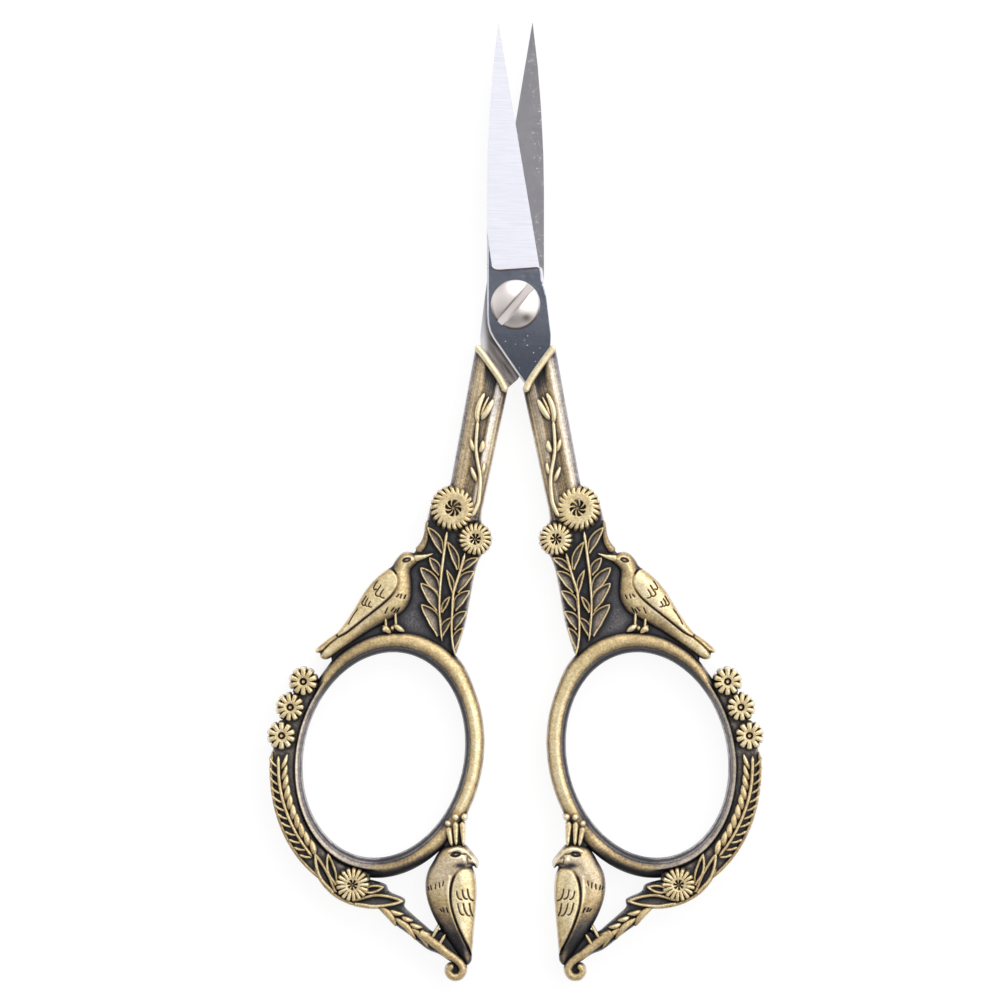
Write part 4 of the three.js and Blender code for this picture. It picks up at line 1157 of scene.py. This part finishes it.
class Shader:
    """A material's nodes, ending in one Principled surface."""

    def __init__(self, name):
        self.material = bpy.data.materials.new(name)
        self.material.use_nodes = True
        self.tree = self.material.node_tree
        self.surface = self.tree.nodes["Principled BSDF"]

    def node(self, kind, settings, values, output=0):
        made = self.tree.nodes.new(kind)
        for key, value in settings.items():
            if key == "stops":
                ramp = made.color_ramp
                while len(ramp.elements) < len(value):
                    ramp.elements.new(0.5)
                for element, (place, colour) in zip(ramp.elements, value):
                    element.position = place
                    element.color = (*colour, 1.0)
            else:
                setattr(made, key, value)
        for key, value in values.items():
            self.join(made.inputs[key], value)
        return Socket(self, made.outputs[output])

    def join(self, target, value):
        if isinstance(value, Socket):
            self.tree.links.new(value.socket, target)
        else:
            target.default_value = value

    def set(self, **values):
        for key, value in values.items():
            self.join(self.surface.inputs[key.replace("_", " ")], value)

    def place(self, scale=(1.0, 1.0, 1.0), turn=0.0):
        coordinates = self.node("ShaderNodeTexCoord", {}, {}, "Object")
        values = {"Vector": coordinates, "Angle": turn}
        flat = self.node("ShaderNodeVectorRotate", {"rotation_type": "Z_AXIS"}, values)
        return self.node("ShaderNodeMapping", {}, {"Vector": flat, "Scale": scale})

    def noise(self, scale, detail=3.0, stretch=(1.0, 1.0, 1.0), roughness=0.5):
        values = {"Vector": self.place(stretch), "Scale": scale, "Detail": detail, "Roughness": roughness}
        return self.node("ShaderNodeTexNoise", {}, values, "Fac")

    def attribute(self, name):
        return self.node("ShaderNodeAttribute", {"attribute_name": name}, {}, "Fac")

    def ramp(self, value, stops):
        return self.node("ShaderNodeValToRGB", {"stops": stops}, {"Fac": value}, "Color")

    def mix(self, factor, first, second):
        return self.node("ShaderNodeMix", {"data_type": "RGBA"}, {0: factor, 6: first, 7: second}, 2)

    def bump(self, height, strength, distance):
        values = {"Height": height, "Strength": strength, "Distance": distance}
        return self.node("ShaderNodeBump", {}, values, "Normal")


def antique_brass():
    """Plated brass: nearly black in the gaps, slate and brown below, sandy pale gold where it is rubbed."""
    shader = Shader("antique_brass")
    # Painted light: this attribute carries painted highlights, shade and reflections as well as patina and
    # wear.
    rub = shader.attribute("rub")
    sand = shader.noise(3600.0, 2.0)
    mottle = shader.noise(1100.0, 4.0, roughness=0.6)
    cloud = shader.noise(150.0, 2.0)
    grain = (sand - 0.5) * 0.5 + (mottle - 0.5) * 0.34 + (cloud - 0.5) * 0.16
    grain = grain * (0.4 + rub.between(0.12, 0.5) * 0.6)
    tone = (rub + grain).clamped()
    warm = shader.ramp(tone, [
        (0.0, (0.01, 0.009, 0.01)),
        (0.14, (0.03, 0.026, 0.026)),
        (0.28, (0.088, 0.075, 0.066)),
        (0.42, (0.2, 0.146, 0.087)),
        (0.58, (0.4, 0.288, 0.143)),
        (0.76, (0.65, 0.49, 0.248)),
        (0.9, (0.85, 0.7, 0.4)),
        (1.0, (0.97, 0.86, 0.6)),
    ])
    cool = shader.ramp(tone, [
        (0.0, (0.016, 0.016, 0.02)),
        (0.28, (0.07, 0.07, 0.085)),
        (0.5, (0.25, 0.24, 0.26)),
        (0.75, (0.56, 0.52, 0.51)),
        (1.0, (0.88, 0.83, 0.8)),
    ])
    shader.set(
        Base_Color=shader.mix((shader.attribute("pale") + grain * 0.5).clamped(), warm, cool),
        Metallic=0.3 + tone * 0.32,
        Roughness=0.5 - tone * 0.1 + (mottle - 0.5) * 0.2,
        Normal=shader.bump(sand * 0.6 + mottle, 0.3, 0.00006),
    )
    return shader.material


def blade_steel():
    """Ground steel: bright cross-ground bevels, dark polished flats and a greyer lapped inner face.

    Dust and short bits of lint lie on the flats, and their chamfers carry a painted highlight.
    """
    shader = Shader("blade_steel")
    ground = shader.attribute("ground")
    lapped = shader.attribute("lapped")
    bright = shader.attribute("bright")
    dusty = shader.attribute("dusty") * (1 - ground) * (1 - bright)
    lines = shader.noise(900.0, 4.0, (0.04, 6.0, 1.0), roughness=0.7)
    fine = shader.noise(2600.0, 2.0, (0.05, 4.0, 1.0))
    cloud = shader.noise(240.0, 4.0)
    drift = shader.noise(70.0, 2.0)
    along = {"Vector": shader.place((2.6, 0.3, 1.0), -0.57), "Scale": 700.0}
    streak = shader.node("ShaderNodeTexNoise", {}, along, "Fac")
    grains = shader.node("ShaderNodeTexVoronoi", {}, {"Vector": shader.place(), "Scale": 1400.0}, "Distance")
    specks = (1 - grains.between(0.06, 0.17)) * shader.noise(420.0, 1.0).between(0.42, 0.56) * dusty
    curl = {"Vector": shader.place(), "Scale": 520.0, "Detail": 1.0, "Distortion": 1.6}
    thread = shader.node("ShaderNodeTexNoise", {}, curl, "Fac")
    thread = 1 - abs(thread - 0.5).between(0.007, 0.022)
    lint = thread * shader.noise(1300.0, 1.0).between(0.5, 0.57) * lapped * dusty
    dust = (specks + lint).clamped()
    speckle = shader.noise(1500.0, 5.0, roughness=0.7)
    mottled = ((cloud + speckle) * 0.9 - 0.4).clamped()
    flat = shader.mix(mottled, (0.34, 0.38, 0.46, 1), (0.66, 0.7, 0.82, 1))
    # The flats are darker towards the handle end.
    flat = shader.mix(shader.attribute("tarnish"), flat, (0.24, 0.27, 0.34, 1))
    inner = shader.mix((cloud * 0.6 + drift * 0.4).clamped(), (0.305, 0.3, 0.325, 1), (0.575, 0.56, 0.585, 1))
    worn = shader.mix(streak.between(0.3, 0.7), (0.12, 0.105, 0.1, 1), (0.44, 0.4, 0.39, 1))
    inner = shader.mix(shader.attribute("tarnish"), inner, worn)
    bevel = shader.mix(lines.between(0.25, 0.75), (0.41, 0.41, 0.455, 1), (0.485, 0.485, 0.525, 1))
    colour = shader.mix(ground, shader.mix(lapped, flat, inner), bevel)
    # Painted highlight: the chamfers are painted near white, less metallic and rougher.
    colour = shader.mix(bright, colour, (0.84, 0.83, 0.86, 1))
    colour = shader.mix(shader.attribute("stain") * 0.6, colour, (0.34, 0.16, 0.13, 1))
    colour = shader.mix(dust * 0.56, colour, (0.75, 0.75, 0.75, 1))
    shader.set(
        Base_Color=colour,
        Metallic=1 - dust * 0.9 - bright * 0.7,
        Roughness=0.17 + lapped * 0.14 + ground * 0.16 + (fine - 0.5) * 0.12 + (dust + bright) * 0.25,
        Normal=shader.bump(lines + fine * 0.5, 0.16, 0.00004),
    )
    return shader.material


def nickel():
    """Satin nickel, faintly warm, with fine wear."""
    shader = Shader("nickel")
    cloud = shader.noise(420.0, 3.0)
    wear = shader.noise(2400.0, 3.0, (1.0, 0.25, 1.0))
    clean = shader.mix(cloud, (0.78, 0.71, 0.68, 1), (0.92, 0.86, 0.83, 1))
    shader.set(
        # Painted shade and a painted dark reflection on the head, in dark brown.
        Base_Color=shader.mix(shader.attribute("grime").clamped(), clean, (0.15, 0.12, 0.1, 1)),
        Metallic=1.0,
        Roughness=0.37 + cloud * 0.1 + (wear - 0.5) * 0.12,
        Normal=shader.bump(wear, 0.08, 0.00003),
    )
    return shader.material


# Making the pieces

def cast(motif, sides=tuple(HANDLES), **settings):
    """The casting that a motif's function fills, named after it."""
    casting = Casting(motif.__name__, sides)
    motif(casting, **settings)
    return casting


def placed(name, data):
    """A new object in the scene."""
    made = bpy.data.objects.new(name, data)
    bpy.context.scene.collection.objects.link(made)
    return made


def to_mesh(name, points, faces, values, material, sharp_angle):
    """A mesh object in metres from points in the half frame."""
    mesh = bpy.data.meshes.new(name)
    places = PIVOT + np.asarray(points) * MM
    corners = np.concatenate([face.ravel() for face in faces])
    sizes = np.concatenate([np.full(len(face), face.shape[1]) for face in faces])
    starts = np.concatenate([[0], np.cumsum(sizes)[:-1]])
    mesh.vertices.add(len(places))
    mesh.vertices.foreach_set("co", places.astype(np.float32).ravel())
    mesh.loops.add(len(corners))
    mesh.loops.foreach_set("vertex_index", corners.astype(np.int32))
    mesh.polygons.add(len(sizes))
    mesh.polygons.foreach_set("loop_start", starts.astype(np.int32))
    mesh.polygons.foreach_set("loop_total", sizes.astype(np.int32))
    mesh.update(calc_edges=True)
    mesh.validate()
    for key, value in values.items():
        mesh.attributes.new(key, "FLOAT", "POINT").data.foreach_set("value", value.astype(np.float32))
    mesh.shade_smooth()
    mesh.set_sharp_from_angle(angle=math.radians(sharp_angle))
    mesh.materials.append(material)
    return placed(name, mesh)


def dress(name, casting, values, material, body, node, over=False, sharp_angle=48):
    """One piece on its body, in place of a node of the model."""
    points = casting.points * (TURNED_OVER if over else 1.0)
    piece = to_mesh(name, points, casting.faces, values, material, sharp_angle)
    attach(piece, body)
    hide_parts(node)


brass = antique_brass()
steel = blade_steel()
screw_metal = nickel()

castings = [
    cast(finger_ring),
    # Painted light on the shank facets that face the right-hand lamp: outer on the right handle, inner on the
    # left.
    cast(shank, ("right",), pale_outside=1.0, pale_inside=0.35),
    cast(shank, ("left",), pale_outside=0.0, pale_inside=1.0),
]
castings += [cast(motif) for motif in (collar, vine, ground, leaf_sprays, posy, songbird, daisies,
                                       wheat_garland, base_flower, wheat_branch, crest_bird)]
for casting in castings:
    casting.cut_at_waist()
# Each casting's tone: patina and wear, with painted highlights, shade and reflections.
for casting, worn in zip(castings, rubbed(castings)):
    for side in casting.sides:
        body, node, over = HANDLES[side]
        dress(f"{side}_{casting.name}", casting, worn, brass, body, node, over)

for name, body, node, over, lower_end in (
    ("upper_blade", "front_half", "front_blade", False,
     [(1.7, -10.85), (0.98, -10.2), (0.3, -9.25), (-0.5, -8.1), (-1.9, -6.05)]),
    ("lower_blade", "rear_half", "rear_blade", True,
     [(1.4, -11.3), (0.73, -10.8), (-0.25, -9.95), (-1.1, -8.6), (-2.1, -6.2)]),
):
    casting = Casting(name)
    marks = blade(casting, lower_end)
    dress(name, casting, marks, steel, body, node, over, sharp_angle=12)
screw = Casting("screw")
pivot_screw(screw)
dress("screw", screw, {"grime": screw.dull}, screw_metal, "screw", "pivot_screw", sharp_angle=30)


# Stage, light and camera

def stage():
    """A white table that turns up into a wide round wall, as in a light tent: rings of points about +Z."""
    table_radius = 1.6
    wall_height = 1.7
    columns = 96
    rise = np.linspace(0, math.pi / 2, 24)[1:]
    radii = np.concatenate([[0.02, 0.5, 1.0, table_radius], table_radius + np.sin(rise), [table_radius + 1]])
    heights = np.concatenate([[0, 0, 0, 0], 1 - np.cos(rise), [wall_height]])
    rings = [np.column_stack([disc((0, 0), radius, columns), np.full(columns, height)])
             for radius, height in zip(radii, heights)]
    mesh = bpy.data.meshes.new("table")
    index = np.arange(len(rings) * columns).reshape(-1, columns)
    across = np.roll(index, -1, axis=1)
    quads = np.stack([index[:-1], index[1:], across[1:], across[:-1]], axis=-1).reshape(-1, 4)
    mesh.from_pydata(np.vstack(rings).tolist(), [], quads.tolist() + [index[0].tolist()])
    mesh.shade_smooth()
    table = placed("table", mesh)
    shader = Shader("white_table")
    kinds = ("Is Camera Ray", "Is Glossy Ray", "Is Transmission Ray")
    straight, glossy, through = (shader.node("ShaderNodeLightPath", {}, {}, kind) for kind in kinds)
    seen = (straight + glossy + through).clamped()
    above = shader.node("ShaderNodeSeparateXYZ", {}, {"Vector": shader.place()}, "Z")
    paint = shader.node("ShaderNodeBsdfDiffuse", {}, {"Color": (0.9, 0.9, 0.9, 1)})
    glow = shader.node("ShaderNodeEmission", {}, {"Color": (1, 1, 1, 1), "Strength": 1.05})
    share = seen * 0.86 * (1 - above.between(0.0, 0.3))
    mixed = shader.node("ShaderNodeMixShader", {}, {0: share, 1: paint, 2: glow})
    shader.join(shader.tree.nodes["Material Output"].inputs["Surface"], mixed)
    mesh.materials.append(shader.material)


def softbox(name, place, size, power):
    """A rectangular lamp that faces the scissors."""
    lamp = bpy.data.lights.new(name, "AREA")
    lamp.shape = "RECTANGLE"
    lamp.size, lamp.size_y = size
    lamp.energy = power
    made = placed(name, lamp)
    made.location = place
    made.rotation_euler = (-made.location).to_track_quat("-Z", "Y").to_euler()


def camera():
    """A long lens straight above, framed as in the photograph."""
    frame_width = 133.6 * MM
    middle = (-1.93 * MM, PIVOT[1] - 26.13 * MM)
    distance = 0.9
    sensor_width = 36.0
    lens = bpy.data.cameras.new("camera")
    lens.sensor_width = sensor_width
    lens.lens = sensor_width * distance / frame_width
    lens.clip_end = 20.0
    made = placed("camera", lens)
    made.location = (*middle, distance + PIVOT[2])
    bpy.context.scene.camera = made


stage()
softbox("right", place=(1.1, 0.1, 1.5), size=(1.4, 2.0), power=16.5)
softbox("left", place=(-1.25, 0.35, 1.3), size=(1.4, 2.0), power=5)
softbox("key", place=(0.45, 1.45, 1.3), size=(2.4, 1.4), power=28)
camera()

world = bpy.data.worlds.new("studio")
world.use_nodes = True
world.node_tree.nodes["Background"].inputs["Color"].default_value = (0.2, 0.2, 0.21, 1)
bpy.context.scene.world = world
bpy.context.scene.view_settings.view_transform = "Standard"
